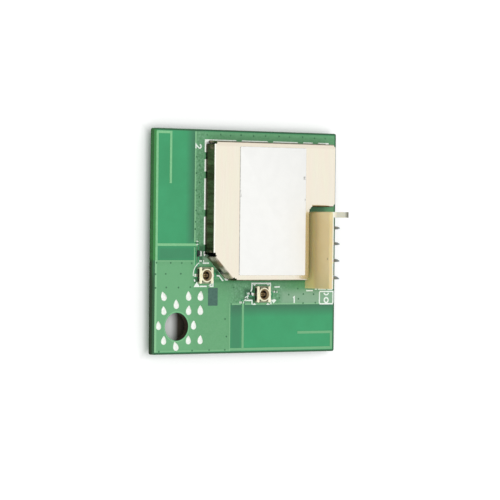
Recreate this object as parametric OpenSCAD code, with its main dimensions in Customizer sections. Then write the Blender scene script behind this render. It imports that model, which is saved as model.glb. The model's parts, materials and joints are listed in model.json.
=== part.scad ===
// Small wireless network module: a square board with two printed antennas, a
// folded shield can, two coaxial test sockets and a four-way upright header.
// Lengths are in millimetres. The origin is the middle of the board's back face.

/* [Board] */
// Width of the board along X
board_w = 35.5; // [34:0.5:42]
// Length of the board along Y
board_l = 35.5; // [34:0.5:42]
// Thickness of the laminate
board_t = 1.0; // [0.8:0.1:1.6]
// Corner radius of the board
board_corner_r = 0.3; // [0.1:0.1:0.8]
// Diameter of the mounting hole
hole_d = 4.4; // [3:0.1:4.8]
// Mounting hole centre from the left edge
hole_inset_x = 4.55; // [4.3:0.05:5.2]
// Mounting hole centre from the lower edge
hole_inset_y = 4.35; // [4.3:0.05:5.2]

/* [Copper] */
// Thickness of the copper with its lacquer
copper_t = 0.05; // [0.03:0.01:0.1]
// Bare border between the copper and the board's edge
copper_border = 0.35; // [0.2:0.05:0.6]
// Length of the ground copper's left and lower sides, up to each antenna area
ground_side = 14.8; // [14:0.1:15.6]
// Width of each area kept free, from the board's edge
zone_w = 7.7; // [7.2:0.1:8.2]
// Width of the antenna strips
strip_w = 0.4; // [0.3:0.05:0.5]
// Distance from the board's edge to an antenna strip
strip_border = 0.4; // [0.3:0.05:0.6]
// Width over the folded end of an antenna
fold_w = 2.95; // [2:0.05:4]
// Length of the left antenna's returning end
left_hook_l = 8.2; // [5:0.1:12]
// Length of the lower antenna's returning end
lower_hook_l = 7.0; // [5:0.1:12]
// Distance from the ground copper to the feed strip
feed_offset = 2.45; // [2:0.05:3.5]
// How far a feed strip runs into the ground copper
feed_reach = 0.7; // [0.5:0.05:0.9]
// Clearance round each strip inside the ground copper
slot_gap = 0.2; // [0.1:0.05:0.3]

/* [Solder dots] */
// Radius of a solder dot
dot_r = 0.45; // [0.3:0.05:0.55]
// Distance from a dot's centre to its pulled point
dot_point = 0.82; // [0.65:0.01:0.9]
// Height of a solder dot
dot_h = 0.18; // [0.1:0.01:0.3]
// Gap from the hole's edge to the centres of the dots round it
dot_ring_gap = 1.1; // [0.9:0.05:1.4]
// Distance from that ring to the dots beside and above it
dot_side_gap = 1.28; // [1.1:0.01:1.4]

/* [Shield can] */
// Height of the can
can_h = 2.45; // [2.2:0.05:3]
// Thickness of the can's sheet
can_t = 0.2; // [0.15:0.01:0.25]
// Outer radius of the folded edges
bend_r = 0.35; // [0.3:0.01:0.45]
// Length left open at each folded corner
corner_relief = 0.45; // [0.4:0.05:0.7]
// Gap from the left antenna area to the can
can_gap_left = 2.1; // [1.8:0.05:2.4]
// Gap from the lower antenna area to the can
can_gap_lower = 3.9; // [3.7:0.05:4.4]
// Gap from the can to the board's right edge
can_gap_right = 1.8; // [1.2:0.05:2.4]
// Gap from the can to the board's upper edge
can_gap_upper = 1.85; // [1.2:0.05:2.4]
// Length of the slanted corner along each side
can_slant = 4.0; // [3.8:0.05:4.3]
// Gap between the can and the header's tall wall
header_gap_x = 0.9; // [0.6:0.05:1.2]
// Gap between the can and the header's end wall
header_gap_y = 0.8; // [0.6:0.05:1.5]
// Radius in the can's inner corner
notch_r = 0.35; // [0.3:0.05:1.0]
// Width of tinned strip showing outside the can
pad_out = 0.42; // [0.3:0.01:0.5]
// Width of tinned strip inside the can's outer face
pad_in = 0.45; // [0.3:0.01:0.6]
// Thickness of the tin on the strips
tin_t = 0.05; // [0.03:0.01:0.08]
// Length of the breaks in the tinned strips
pad_break = 1.1; // [0.8:0.05:1.4]
// Height of the solder seam against the can
seam_h = 0.22; // [0.1:0.01:0.3]
// Width of the solder seam on the strip
seam_w = 0.26; // [0.15:0.01:0.28]

/* [Label] */
// Thickness of the label
label_t = 0.08; // [0.05:0.01:0.15]
// Can left bare beside the label on the left
label_gap_left = 4.85; // [4:0.05:6]
// Can left bare beside the label on the right
label_gap_right = 0.75; // [0.6:0.05:2]
// Can left bare above the label
label_gap_upper = 0.75; // [0.6:0.05:1.5]
// Can left bare below the label
label_gap_lower = 0.85; // [0.6:0.05:1.5]
// Corner radius of the label
label_r = 0.2; // [0.1:0.05:0.5]

/* [Header] */
// Distance between neighbouring pins
pitch = 2.5; // [2.4:0.01:2.54]
// Width of the square pins
pin_w = 0.64; // [0.5:0.01:0.66]
// Pin row from the board's right edge
pin_inset_x = 4.1; // [3.8:0.05:4.4]
// Middle of the pin row from the board's lower edge
pin_row_y = 16.5; // [16:0.1:17]
// Housing past the centre of each end pin
header_end = 2.45; // [2.2:0.05:2.6]
// Depth of the housing along X
header_depth = 3.8; // [3.4:0.05:4.2]
// Height of the tall wall above the board
header_h = 6.8; // [6:0.1:7.5]
// Thickness of the tall wall
header_wall_t = 0.75; // [0.6:0.05:0.9]
// Thickness of the end wall
end_wall_t = 0.9; // [0.7:0.05:1.1]
// Height of the housing's floor above the board
header_floor_h = 2.2; // [1.8:0.1:2.8]
// Height of the feet under the floor
foot_h = 0.3; // [0.2:0.05:0.4]
// Bevel on the housing's outer edges
header_bevel = 0.25; // [0.1:0.05:0.3]
// Radius on the end wall's free corner
end_wall_r = 0.4; // [0.3:0.1:1.4]
// Pin tips below the top of the tall wall
tip_drop = 0.2; // [0:0.05:0.6]
// Length of the pins' tapered ends
tip_taper = 0.8; // [0.3:0.1:1.2]
// How far the lowest pin's tip is bent along the row
tip_offset = 0.8; // [0:0.05:0.9]
// Pin tails past the board's back
tail_l = 1.6; // [1.2:0.1:2]
// Diameter of the board's pin holes
pin_hole_d = 1.05; // [0.98:0.01:1.15]
// Radius of the solder joints on the board
joint_r = 0.95; // [0.8:0.05:1.05]
// Height of the solder joints up the pin tails
joint_h = 0.95; // [0.6:0.05:1.1]

/* [Coaxial sockets] */
// Width of the square socket
socket_w = 2.6; // [2.5:0.05:2.7]
// Height of the socket's shell
socket_h = 0.78; // [0.7:0.01:0.95]
// Height of the lip above the shell
lip_h = 0.17; // [0.1:0.01:0.25]
// Outer radius of the lip
lip_r = 1.1; // [1.05:0.01:1.15]
// Radius of the funnel's mouth
mouth_r = 0.88; // [0.8:0.01:0.95]
// Radius of the bore
bore_r = 0.6; // [0.5:0.01:0.65]
// Depth of the funnel
funnel_d = 0.35; // [0.2:0.01:0.45]
// Thickness of the shell's plate
plate_t = 0.14; // [0.1:0.01:0.18]
// Width of the shell's side bars
bar_w = 0.42; // [0.36:0.01:0.46]
// Depth of the low sills across the socket's ends
sill_l = 0.3; // [0.2:0.01:0.35]
// Height of the sills
sill_h = 0.25; // [0.22:0.01:0.3]
// Set-back of the resin sides and the shell's legs from the shell's edge
resin_inset = 0.06; // [0.04:0.01:0.08]
// Width of the signal tails
tail_w = 0.42; // [0.3:0.01:0.5]
// How far the signal tails stand out of the socket
tail_out = 0.38; // [0.25:0.01:0.45]
// Thickness of the contact metal
contact_t = 0.1; // [0.08:0.01:0.12]
// Left socket from the left antenna area
left_socket_x = 1.92; // [1.85:0.01:2.0]
// Left socket from the lower antenna area
left_socket_y = 4.72; // [4.6:0.02:4.8]
// Lower socket from the ground copper's right end
lower_socket_x = 6.0; // [5.5:0.1:8]
// Lower socket from the lower antenna area
lower_socket_y = 1.66; // [1.6:0.02:1.8]

/* [Matching parts] */
// Distance from the left feed down to the series part on its line
series_drop = 1.3; // [1.2:0.05:1.4]
// Length of the break in the left line under the series part
series_break = 0.5; // [0.3:0.05:0.6]
// Clearance between two matching parts side by side
match_gap = 0.05; // [0.05:0.01:0.1]
// Clearance between two matching parts in one column
match_row_gap = 0.5; // [0.4:0.05:0.6]
// Clearance between the left socket and the first matching part
match_clearance = 0.82; // [0.75:0.01:0.85]
// Length of the larger matching parts, capacitors and resistors
part_l = 1.0; // [0.8:0.05:1.1]
// Width of the larger matching parts, capacitors and resistors
part_w = 0.5; // [0.4:0.05:0.5]
// Height of the larger matching parts
part_h = 0.4; // [0.3:0.05:0.5]
// Length of the smaller matching parts
small_l = 0.62; // [0.5:0.01:0.7]
// Width and height of the smaller matching parts
small_w = 0.32; // [0.25:0.01:0.35]

/* [Parts under the can] */
// Clearance between the radio chip and the small parts beside it
chip_gap = 0.7; // [0.4:0.05:0.8]
// Clearance between the can's walls and the parts along them
wall_gap = 0.4; // [0.3:0.05:0.5]
// Width of the radio chip
chip_w = 8.0; // [7:0.5:8.5]
// Thickness of the radio chip
chip_h = 0.85; // [0.6:0.05:1.2]
// Number of lands on each side of the radio chip
chip_lands = 12; // [6:1:14]
// Width of the two front-end chips
front_end_w = 2.5; // [2:0.1:2.8]
// Thickness of the front-end chips
front_end_h = 0.55; // [0.4:0.05:0.9]
// Number of lands on each side of a front-end chip
front_end_lands = 5; // [3:1:6]
// Length of the memory chip's body, along its rows of leads
memory_l = 3.0; // [2.8:0.1:3.2]
// Width of the memory chip's body
memory_w = 4.4; // [4:0.1:4.5]
// Distance between the memory chip's leads
memory_pitch = 0.65; // [0.5:0.05:0.7]
// Length of the regulator's body, along its rows of leads
regulator_l = 2.9; // [2.7:0.1:3.1]
// Width of the regulator's body
regulator_w = 1.6; // [1.4:0.1:1.7]
// Distance between the regulator's leads
regulator_pitch = 0.95; // [0.9:0.05:1]
// Height of both leaded chips
leaded_h = 1.05; // [0.8:0.05:1.3]
// How far a bent lead reaches out of its body
lead_reach = 0.75; // [0.6:0.05:0.8]
// Width of a bent lead
lead_w = 0.28; // [0.2:0.01:0.35]
// Thickness of a bent lead
lead_t = 0.14; // [0.1:0.01:0.18]
// Length of the crystal's tub
crystal_l = 3.2; // [2:0.1:3.4]
// Width of the crystal's tub
crystal_w = 2.5; // [1.6:0.1:2.7]
// Height of the crystal's tub, without its lid
crystal_h = 0.5; // [0.4:0.05:0.7]
// Length of the power coil's body
coil_l = 2.0; // [1.8:0.1:2.4]
// Width of the power coil's body
coil_w = 1.6; // [1.4:0.1:1.8]
// Height of the power coil's body
coil_h = 1.0; // [0.8:0.05:1.2]
// Height of the capacitors
capacitor_h = 0.5; // [0.3:0.05:0.6]
// Height of the resistors
resistor_h = 0.35; // [0.25:0.05:0.45]

/* [Hidden] */
$fn = 48;
eps = 0.01;

// Board edges, and the level that soldered parts stand on
left_x = -board_w / 2;
right_x = board_w / 2;
lower_y = -board_l / 2;
upper_y = board_l / 2;
copper_z = board_t + copper_t;

// Mounting hole
hole_x = left_x + hole_inset_x;
hole_y = lower_y + hole_inset_y;

// Inner edges of the two antenna areas
left_zone_x = left_x + zone_w;
left_zone_y = lower_y + ground_side;
lower_zone_x = left_x + ground_side;
lower_zone_y = lower_y + zone_w;

// Header: the row of pins and the housing round it
pin_x = right_x - pin_inset_x;
row_mid_y = lower_y + pin_row_y;
pin_count = 4;
row_half = pitch * (pin_count - 1) / 2;
header_x0 = pin_x - header_depth / 2;
header_x1 = pin_x + header_depth / 2;
header_y0 = row_mid_y - row_half - header_end;
header_y1 = row_mid_y + row_half + header_end;
floor_z = board_t + header_floor_h;
header_z = board_t + header_h;
// Each pin's share of the greatest lean, from the upper pin down
lean_share = [0.19, 0.25, 0.56, 1];

// Shield can outline: a rectangle with a slanted corner and a notch for the header
can_x0 = left_zone_x + can_gap_left;
can_x1 = right_x - can_gap_right;
can_y0 = lower_zone_y + can_gap_lower;
can_y1 = upper_y - can_gap_upper;
notch_x = header_x0 - header_gap_x;
notch_y = header_y1 + header_gap_y;
can_z0 = copper_z + tin_t;
can_z1 = can_z0 + can_h;
slant_k = sqrt(2) - 1;
// Middles of the breaks in the tinned strips, from the can's upper left corner
upper_breaks = [6.3, 12.45, 18.45, 21.45];
left_breaks = [2.3, 5.35, 11.4, 16.9];

// Sockets
left_socket = [left_zone_x + left_socket_x, lower_zone_y + left_socket_y];
lower_socket = [lower_zone_x + lower_socket_x, lower_zone_y + lower_socket_y];

// Ends of the antenna feeds, inside the ground copper
left_feed = [left_zone_x + feed_reach, left_zone_y + feed_offset];
lower_feed = [lower_zone_x + feed_offset, lower_zone_y + feed_reach];

// Pin i from the upper end of the row
function pin_y(i) = row_mid_y + row_half - pitch * i;

// Left line: where it runs, and the middle of its series part
left_line_x = left_feed[0] - strip_w / 3;
series_y = left_feed[1] - series_drop;

// Places under the can: the radio chip stands right of a column that holds the memory chip
// and the left front-end chip
beside = chip_w / 2 + chip_gap + part_w / 2;
chip_at = [(can_x0 + notch_x + memory_l + wall_gap) / 2, (can_y0 + can_y1) / 2];
column_x = (can_x0 + can_t + chip_at[0] - beside - part_w / 2) / 2;
inner_x1 = can_x1 - can_t - wall_gap;
inner_y0 = can_y0 + can_t + wall_gap;
inner_y1 = can_y1 - can_t - wall_gap;

// Capacitors and resistors round the radio chip, from its middle
row = chip_w / 5;
capacitor_at = [
    [-beside, 2 * row], [-beside, row], [-beside, 0], [beside, 2 * row],
    [beside, row], [beside, -row], [-row, beside], [row, beside]
];
resistor_at = [[-beside, -1.5 * row], [-row, -beside], [beside, 0], [beside, -2 * row]];

// Colours of the matching parts
pale = [0.78, 0.74, 0.64];
dark = [0.20, 0.20, 0.20];

// Corners of the can's outline moved inwards by d, anticlockwise from the upper left
function can_outline(d) = [
    [can_x0 + d, can_y1 - d],
    [can_x0 + d, can_y0 + can_slant + slant_k * d],
    [can_x0 + can_slant + slant_k * d, can_y0 + d],
    [notch_x - d, can_y0 + d],
    [notch_x - d, notch_y + d],
    [can_x1 - d, notch_y + d],
    [can_x1 - d, can_y1 - d]
];

// ---- shared shapes ----

module rounded_plate(w, l, t, r) {
    linear_extrude(t) {
        square([w - 2 * r, l], center = true);
        square([w, l - 2 * r], center = true);
        for (sx = [-1, 1], sy = [-1, 1])
            translate([sx * (w / 2 - r), sy * (l / 2 - r)]) circle(r);
    }
}

module box(x0, x1, y0, y1, z0, z1) {
    translate([x0, y0, z0]) cube([x1 - x0, y1 - y0, z1 - z0]);
}

module area(x0, x1, y0, y1) {
    translate([x0, y0]) square([x1 - x0, y1 - y0]);
}

// Circle with a pulled point towards +Y
module drop(r, point) {
    half = acos(r / point);
    circle(r);
    polygon([[0, point], [-r * sin(half), r * cos(half)], [r * sin(half), r * cos(half)]]);
}

// ---- board and copper ----

module circuit_board() {
    color([0.30, 0.58, 0.42])
    difference() {
        rounded_plate(board_w, board_l, board_t, board_corner_r);
        translate([hole_x, hole_y, -1]) cylinder(d = hole_d, h = board_t + 2);
        for (i = [0 : pin_count - 1])
            translate([pin_x, pin_y(i), -1]) cylinder(d = pin_hole_d, h = board_t + 2);
    }
}

// Line from the left feed to the left socket, broken for the series part
module left_line(grow) {
    half = strip_w / 2 + grow;
    break_half = series_break / 2 - grow;
    x0 = left_line_x - half;
    x1 = left_line_x + half;
    end_x = left_socket[0] - socket_w / 2 - tail_out;
    area(x0, x1, series_y + break_half, left_feed[1] - half);
    area(x0, x1, left_socket[1] - half, series_y - break_half);
    area(x0, max(x1, end_x + tail_w), left_socket[1] - half, left_socket[1] + half);
}

// Line from the lower feed to the lower socket, broken for the series part
module lower_line(grow) {
    half = strip_w / 2 + grow;
    start = [lower_feed[0] + strip_w / 2 + small_l, lower_socket[1]];
    area(start[0] - grow, lower_socket[0] - socket_w / 2 - tail_out + tail_w,
         start[1] - half, start[1] + half);
}

// Short lines from the far side of both sockets to the parts and holes beside the can
module far_lines(grow) {
    half = strip_w / 2 + grow;
    far = socket_w / 2 + tail_out;
    for (s = [left_socket, lower_socket])
        area(s[0] + far - tail_w - grow, s[0] + far + 0.45 + grow, s[1] - half, s[1] + half);
}

module rf_lines() {
    color([0.46, 0.70, 0.53])
    translate([0, 0, board_t]) linear_extrude(copper_t) {
        left_line(0);
        lower_line(0);
        far_lines(0);
    }
}

module ground_copper() {
    slot = strip_w / 2 + slot_gap;
    color([0.44, 0.66, 0.50])
    translate([0, 0, board_t]) linear_extrude(copper_t) difference() {
        square([board_w - 2 * copper_border, board_l - 2 * copper_border], center = true);
        // areas kept free for the antennas
        area(left_x, left_zone_x, left_zone_y, upper_y);
        area(lower_zone_x, right_x, lower_y, lower_zone_y);
        // slots for the feeds and lines
        area(left_zone_x - eps, left_feed[0] + slot_gap, left_feed[1] - slot, left_feed[1] + slot);
        area(lower_feed[0] - slot, lower_feed[0] + slot, lower_zone_y - eps,
             lower_feed[1] + slot_gap);
        left_line(slot_gap);
        lower_line(slot_gap);
        far_lines(slot_gap);
        // mounting hole and pin holes
        translate([hole_x, hole_y]) circle(d = hole_d + 2 * slot_gap);
        for (i = [0 : pin_count - 1])
            translate([pin_x, pin_y(i)]) circle(d = pin_hole_d + 2 * slot_gap);
    }
}

// Folded strip antenna: u runs along the board's edge from the ground copper, v inwards.
// far is the length of the area, hook_l the length of the returning end.
module antenna_strip(far, hook_l) {
    end_u = far - strip_border;
    area(-eps, end_u, strip_border, strip_border + strip_w);
    area(end_u - strip_w, end_u, strip_border, strip_border + fold_w);
    area(end_u - hook_l, end_u, strip_border + fold_w - strip_w, strip_border + fold_w);
    area(feed_offset - strip_w / 2, feed_offset + strip_w / 2, strip_border,
         zone_w + feed_reach);
}

module left_antenna() {
    color([0.54, 0.76, 0.58])
    translate([0, 0, board_t]) linear_extrude(copper_t) difference() {
        translate([left_x, left_zone_y]) mirror([1, -1])
            antenna_strip(upper_y - left_zone_y, left_hook_l);
        area(left_x, left_zone_x, left_zone_y - 1, left_zone_y);
    }
}

module lower_antenna() {
    color([0.54, 0.76, 0.58])
    translate([0, 0, board_t]) linear_extrude(copper_t) difference() {
        translate([lower_zone_x, lower_y]) antenna_strip(right_x - lower_zone_x, lower_hook_l);
        area(lower_zone_x - 1, lower_zone_x, lower_y, lower_zone_y);
    }
}

// Tinned dots: eight round the mounting hole and five more beside them, each in three
// layers that draw in towards the top
module solder_dots() {
    ring_r = hole_d / 2 + dot_ring_gap;
    step = ring_r * sin(45);
    far = ring_r + dot_side_gap;
    ring = [for (k = [0 : 7]) [ring_r * cos(45 * k), ring_r * sin(45 * k)]];
    extra = [[-step, far], [step, far], [far, far], [far, step], [far, -step]];
    layers = 3;
    layer_h = dot_h / layers;
    color([0.90, 0.93, 0.88])
    for (p = concat(ring, extra))
        translate([hole_x + p[0], hole_y + p[1], copper_z]) for (k = [0 : layers - 1]) {
            shrink = sqrt(1 - pow(k / layers, 2));
            translate([0, 0, k * layer_h]) linear_extrude(layer_h)
                drop(dot_r * shrink, dot_point * shrink);
        }
}

// ---- shield can ----

// Breaks in the tinned strips along the upper and left sides
module pad_breaks() {
    half = pad_break / 2;
    for (d = upper_breaks)
        area(can_x0 + d - half, can_x0 + d + half, can_y1 - 1, can_y1 + 1);
    for (d = left_breaks)
        area(can_x0 - 1, can_x0 + 1, can_y1 - d - half, can_y1 - d + half);
}

// The strips show outside the can on its upper, left and right sides only
module shield_pads() {
    slant_half = can_slant / sqrt(2);
    color([0.86, 0.90, 0.84])
    translate([0, 0, copper_z]) linear_extrude(tin_t) difference() {
        intersection() {
            polygon(can_outline(-pad_out));
            area(can_x0 - 1, can_x1 + 1, can_y0, can_y1 + 1);
        }
        polygon(can_outline(pad_in));
        pad_breaks();
        translate([can_x0 + can_slant / 2, can_y0 + can_slant / 2]) rotate(-45)
            area(-slant_half, slant_half, -1, 0);
        area(notch_x, can_x1 + 1, can_y0 - 1, notch_y);
    }
}

// Solder seam: a small fillet between the strip and the can's outer face
module seam(p, q) {
    run = q - p;
    translate([p[0], p[1], can_z0]) rotate(atan2(run[1], run[0])) rotate([90, 0, 90])
        linear_extrude(norm(run)) polygon([[-seam_w, 0], [0, 0], [0, seam_h]]);
}

module shield_solder() {
    c = can_outline(0);
    trim = corner_relief;
    color([0.80, 0.83, 0.80])
    difference() {
        union() {
            seam(c[0] + [0, -trim], c[1] + [0, trim]);
            seam(c[6] + [-trim, 0], c[0] + [trim, 0]);
            seam(c[5] + [0, trim], c[6] + [0, -trim]);
        }
        translate([0, 0, can_z0 - 1]) linear_extrude(can_h) pad_breaks();
    }
}

// Cross-section of a folded edge: outer face at 0, sheet inwards, wall down to the strip
module fold_section() {
    translate([0, can_z0]) square([can_t, can_h - bend_r]);
    intersection() {
        translate([0, can_z1 - bend_r]) square(bend_r);
        translate([bend_r, can_z1 - bend_r]) difference() {
            circle(bend_r);
            circle(bend_r - can_t);
        }
    }
}

// Wall folded down along the line p to q, with the can's inside on its left
module can_wall(p, q, start, finish) {
    run = q - p;
    translate([p[0], p[1], 0]) rotate(atan2(run[1], run[0])) translate([start, 0, 0])
        rotate([90, 0, 90]) linear_extrude(norm(run) - start - finish) fold_section();
}

module shield_can() {
    c = can_outline(0);
    web = bend_r + notch_r;
    color([0.93, 0.92, 0.86]) {
        translate([0, 0, can_z1 - can_t]) linear_extrude(can_t) polygon(can_outline(bend_r));
        for (i = [0 : 6])
            can_wall(c[i], c[(i + 1) % 7], i == 4 ? notch_r : corner_relief,
                     i == 3 ? notch_r : corner_relief);
        // web that rounds the inner corner of the notch
        translate([notch_x - bend_r, notch_y - notch_r, can_z1 - can_t])
            linear_extrude(can_t) difference() {
                square(web);
                translate([web, 0]) circle(notch_r);
            }
    }
}

module label() {
    x0 = can_x0 + label_gap_left;
    x1 = notch_x - label_gap_right;
    y0 = can_y0 + label_gap_lower;
    y1 = can_y1 - label_gap_upper;
    color([0.97, 0.97, 0.96])
    translate([(x0 + x1) / 2, (y0 + y1) / 2, can_z1])
        rounded_plate(x1 - x0, y1 - y0, label_t, label_r);
}

// ---- header ----

// Housing open at the front and at the lower end: floor, tall wall and one end wall
module header_housing() {
    len = header_y1 - header_y0;
    b = header_bevel;
    rib_w = 0.5;
    rib_d = 0.35;
    rib_drop = 1;
    color([0.88, 0.82, 0.66])
    difference() {
        union() {
            // tall wall with a bevelled top, down to the copper
            translate([0, header_y1, 0]) rotate([90, 0, 0]) linear_extrude(len)
                polygon([[header_x0, copper_z], [header_x0, header_z - b],
                         [header_x0 + b, header_z], [header_x0 + header_wall_t - b / 2, header_z],
                         [header_x0 + header_wall_t, header_z - b / 2],
                         [header_x0 + header_wall_t, copper_z]]);
            // floor, raised on two feet
            translate([0, header_y1, 0]) rotate([90, 0, 0]) linear_extrude(len)
                polygon([[header_x0 + eps, copper_z + foot_h], [header_x0 + eps, floor_z],
                         [header_x1 - b, floor_z], [header_x1, floor_z - b],
                         [header_x1, copper_z + foot_h]]);
            for (y = [header_y0, header_y1 - end_wall_t])
                box(header_x0 + eps, header_x1, y, y + end_wall_t, copper_z, copper_z + foot_h + eps);
            // end wall with a rounded free corner
            translate([0, header_y1, 0]) rotate([90, 0, 0]) linear_extrude(end_wall_t) {
                area(header_x0 + eps, header_x1, copper_z + foot_h, header_z - end_wall_r);
                area(header_x0 + header_wall_t / 2, header_x1 - end_wall_r, floor_z, header_z);
                translate([header_x1 - end_wall_r, header_z - end_wall_r]) circle(end_wall_r);
            }
            // keying ribs up the inside of the tall wall
            for (k = [0.5, 2.5])
                box(header_x0 + header_wall_t - eps, header_x0 + header_wall_t + rib_d,
                    pin_y(k) - rib_w / 2, pin_y(k) + rib_w / 2, floor_z - eps, header_z - rib_drop);
        }
        // bevel up the outer corner of the end wall
        translate([header_x0, header_y1, board_t - 1]) rotate(45)
            cube([b * sqrt(2), b * sqrt(2), 2 * header_h + 4], center = true);
        // square holes that grip the pins
        for (i = [0 : pin_count - 1])
            translate([pin_x, pin_y(i), floor_z]) cube([pin_w, pin_w, 2 * header_floor_h + 2],
                                                       center = true);
    }
}

// Square pin with tapered ends; the part above the floor leans by its own amount
module header_pin(i) {
    lean = tip_offset * lean_share[i];
    half = pin_w / 2;
    tip = half * 0.4;
    z0 = -tail_l;
    z1 = header_z - tip_drop;
    slope = lean / (z1 - floor_z);
    shoulder = lean - slope * tip_taper;
    low = z0 + tip_taper / 2;
    high = z1 - tip_taper;
    color([0.62, 0.62, 0.60])
    translate([pin_x, pin_y(i), 0]) intersection() {
        // seen along X, with the lean
        rotate([90, 0, 90]) translate([0, 0, -pin_w]) linear_extrude(2 * pin_w)
            polygon([[-tip, z0], [tip, z0], [half, low], [half, floor_z],
                     [half - shoulder, high], [tip - lean, z1], [-tip - lean, z1],
                     [-half - shoulder, high], [-half, floor_z], [-half, low]]);
        // seen along Y, straight
        translate([0, pin_w + 1, 0]) rotate([90, 0, 0]) linear_extrude(2 * pin_w + 3)
            polygon([[-tip, z0], [tip, z0], [half, low], [half, high],
                     [tip, z1], [-tip, z1], [-half, high], [-half, low]]);
    }
}

// Solder in the pin hole and in a cone up the tail at the board's back
module header_joint(i) {
    steps = 6;
    foot = [for (k = [0 : steps])
        let (a = 90 * k / steps)
        [joint_r - (joint_r - pin_w * 0.62) * sin(a), -joint_h * (1 - cos(a))]];
    color([0.78, 0.79, 0.78])
    translate([pin_x, pin_y(i), 0]) difference() {
        rotate_extrude() polygon(concat(
            [[0, board_t], [0, -joint_h]], [for (k = [steps : -1 : 0]) foot[k]],
            [[pin_hole_d / 2, 0], [pin_hole_d / 2, board_t]]));
        cube([pin_w, pin_w, 2 * (board_t + joint_h + 1)], center = true);
    }
}

// ---- coaxial sockets ----

// Resin body under the shell, open in the middle under the bore, with a pocket at each corner
module socket_base(at) {
    w = socket_w - 2 * resin_inset;
    l = socket_w - 2 * sill_l;
    top = socket_h - plate_t;
    color([0.16, 0.15, 0.13])
    translate([at[0], at[1], copper_z]) difference() {
        box(-w / 2, w / 2, -l / 2, l / 2, 0, top);
        translate([0, 0, 2 * contact_t]) cylinder(r = bore_r, h = top);
        // slot for the two contacts
        box(-w, w, -tail_w / 2, tail_w / 2, -eps, contact_t);
        translate([0, 0, -eps]) cylinder(r = bore_r, h = 2 * contact_t + 2 * eps);
        for (sx = [-1, 1], sy = [-1, 1]) translate([sx * w / 2, sy * l / 2, top])
            cube([lip_r * 1.3, lip_r * 0.8, top], center = true);
    }
}

// Metal shell: two side bars joined by a funnelled ring, on legs that stand on a low sill
// at each end
module socket_shell(at) {
    half = socket_w / 2;
    top = socket_h - plate_t;
    total = socket_h + lip_h;
    leg = sill_l - resin_inset;
    color([0.93, 0.88, 0.68])
    translate([at[0], at[1], copper_z]) {
        difference() {
            union() {
                // side bars with round ends, and the plate between them
                translate([0, 0, top]) linear_extrude(plate_t) {
                    for (s = [-1, 1]) translate([s * (half - bar_w / 2), 0]) {
                        square([bar_w, socket_w - bar_w], center = true);
                        for (e = [-1, 1])
                            translate([0, e * (half - bar_w / 2)]) circle(bar_w / 2);
                    }
                    circle(lip_r);
                    square([socket_w - bar_w, lip_r * 1.2], center = true);
                }
                // raised lip
                translate([0, 0, socket_h - eps])
                    cylinder(r1 = lip_r, r2 = lip_r - lip_h / 3, h = lip_h + eps);
            }
            // funnel and bore
            translate([0, 0, total - funnel_d])
                cylinder(r1 = bore_r, r2 = mouth_r, h = funnel_d + eps);
            translate([0, 0, top - eps]) cylinder(r = bore_r, h = total);
        }
        for (sy = [-1, 1]) {
            box(-half + resin_inset, half - resin_inset, min(sy * half, sy * (half - sill_l)),
                max(sy * half, sy * (half - sill_l)), 0, sill_h);
            for (sx = [-1, 1])
                translate([sx * (half - bar_w / 2), sy * (half - sill_l + leg / 2), 0])
                    box(-leg / 2, leg / 2, -leg / 2, leg / 2, sill_h - eps, top + eps);
        }
    }
}

// Fixed contact: a flat tail that ends under the bore
module socket_contact(at) {
    far = socket_w / 2 + tail_out;
    end_gap = 0.12;
    color([0.86, 0.80, 0.62])
    translate([at[0] - far, at[1] - tail_w / 2, copper_z])
        cube([far - end_gap, tail_w, contact_t]);
}

// Spring contact: a tail that rises in the bore and comes down on the fixed contact
module socket_spring(at) {
    far = socket_w / 2 + tail_out;
    foot_x = 0.14;
    root_x = 0.52;
    nose_x = -0.3;
    slit = 0.1;
    crest = socket_h - plate_t - contact_t / 2;
    color([0.80, 0.70, 0.46])
    translate([at[0], at[1] + tail_w / 2, copper_z]) rotate([90, 0, 0]) difference() {
        linear_extrude(tail_w) polygon([
            [foot_x, 0], [far, 0], [far, contact_t], [root_x, contact_t],
            [root_x - contact_t, crest], [nose_x, contact_t * 2.6], [nose_x, contact_t * 1.4],
            [root_x - 2 * contact_t, crest - contact_t * 1.5],
            [root_x - contact_t * 1.2, contact_t], [foot_x, contact_t]
        ]);
        // slit that splits the spring's free end
        translate([-slit * 5, contact_t + eps, (tail_w - slit) / 2]) cube([slit * 7, 1, slit]);
    }
}

// ---- parts under the can ----

// Leadless package: stepped body, lands along each side, a pad in the middle and a dimple
// by the first land
module leadless_chip(at, w, h, count) {
    step = w / (count + 1.5);
    land_l = 0.3;
    land_t = 0.12;
    ledge = 0.05;
    pad = w * 0.66;
    color([0.13, 0.13, 0.14])
    translate([at[0], at[1], copper_z]) difference() {
        union() {
            box(-w / 2, w / 2, -w / 2, w / 2, ledge / 2, h / 2);
            box(ledge - w / 2, w / 2 - ledge, ledge - w / 2, w / 2 - ledge, h / 2, h);
            for (turn = [0 : 90 : 270], k = [0 : count - 1])
                rotate(turn) translate([(k - (count - 1) / 2) * step, 0, 0])
                    box(-step / 4, step / 4, w / 2 - land_l, w / 2 + eps, 0, land_t);
            box(-pad / 2, pad / 2, -pad / 2, pad / 2, 0, land_t);
        }
        translate([-w * 0.38, w * 0.38, h - ledge]) cylinder(d = w / 12, h = 1);
    }
}

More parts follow.
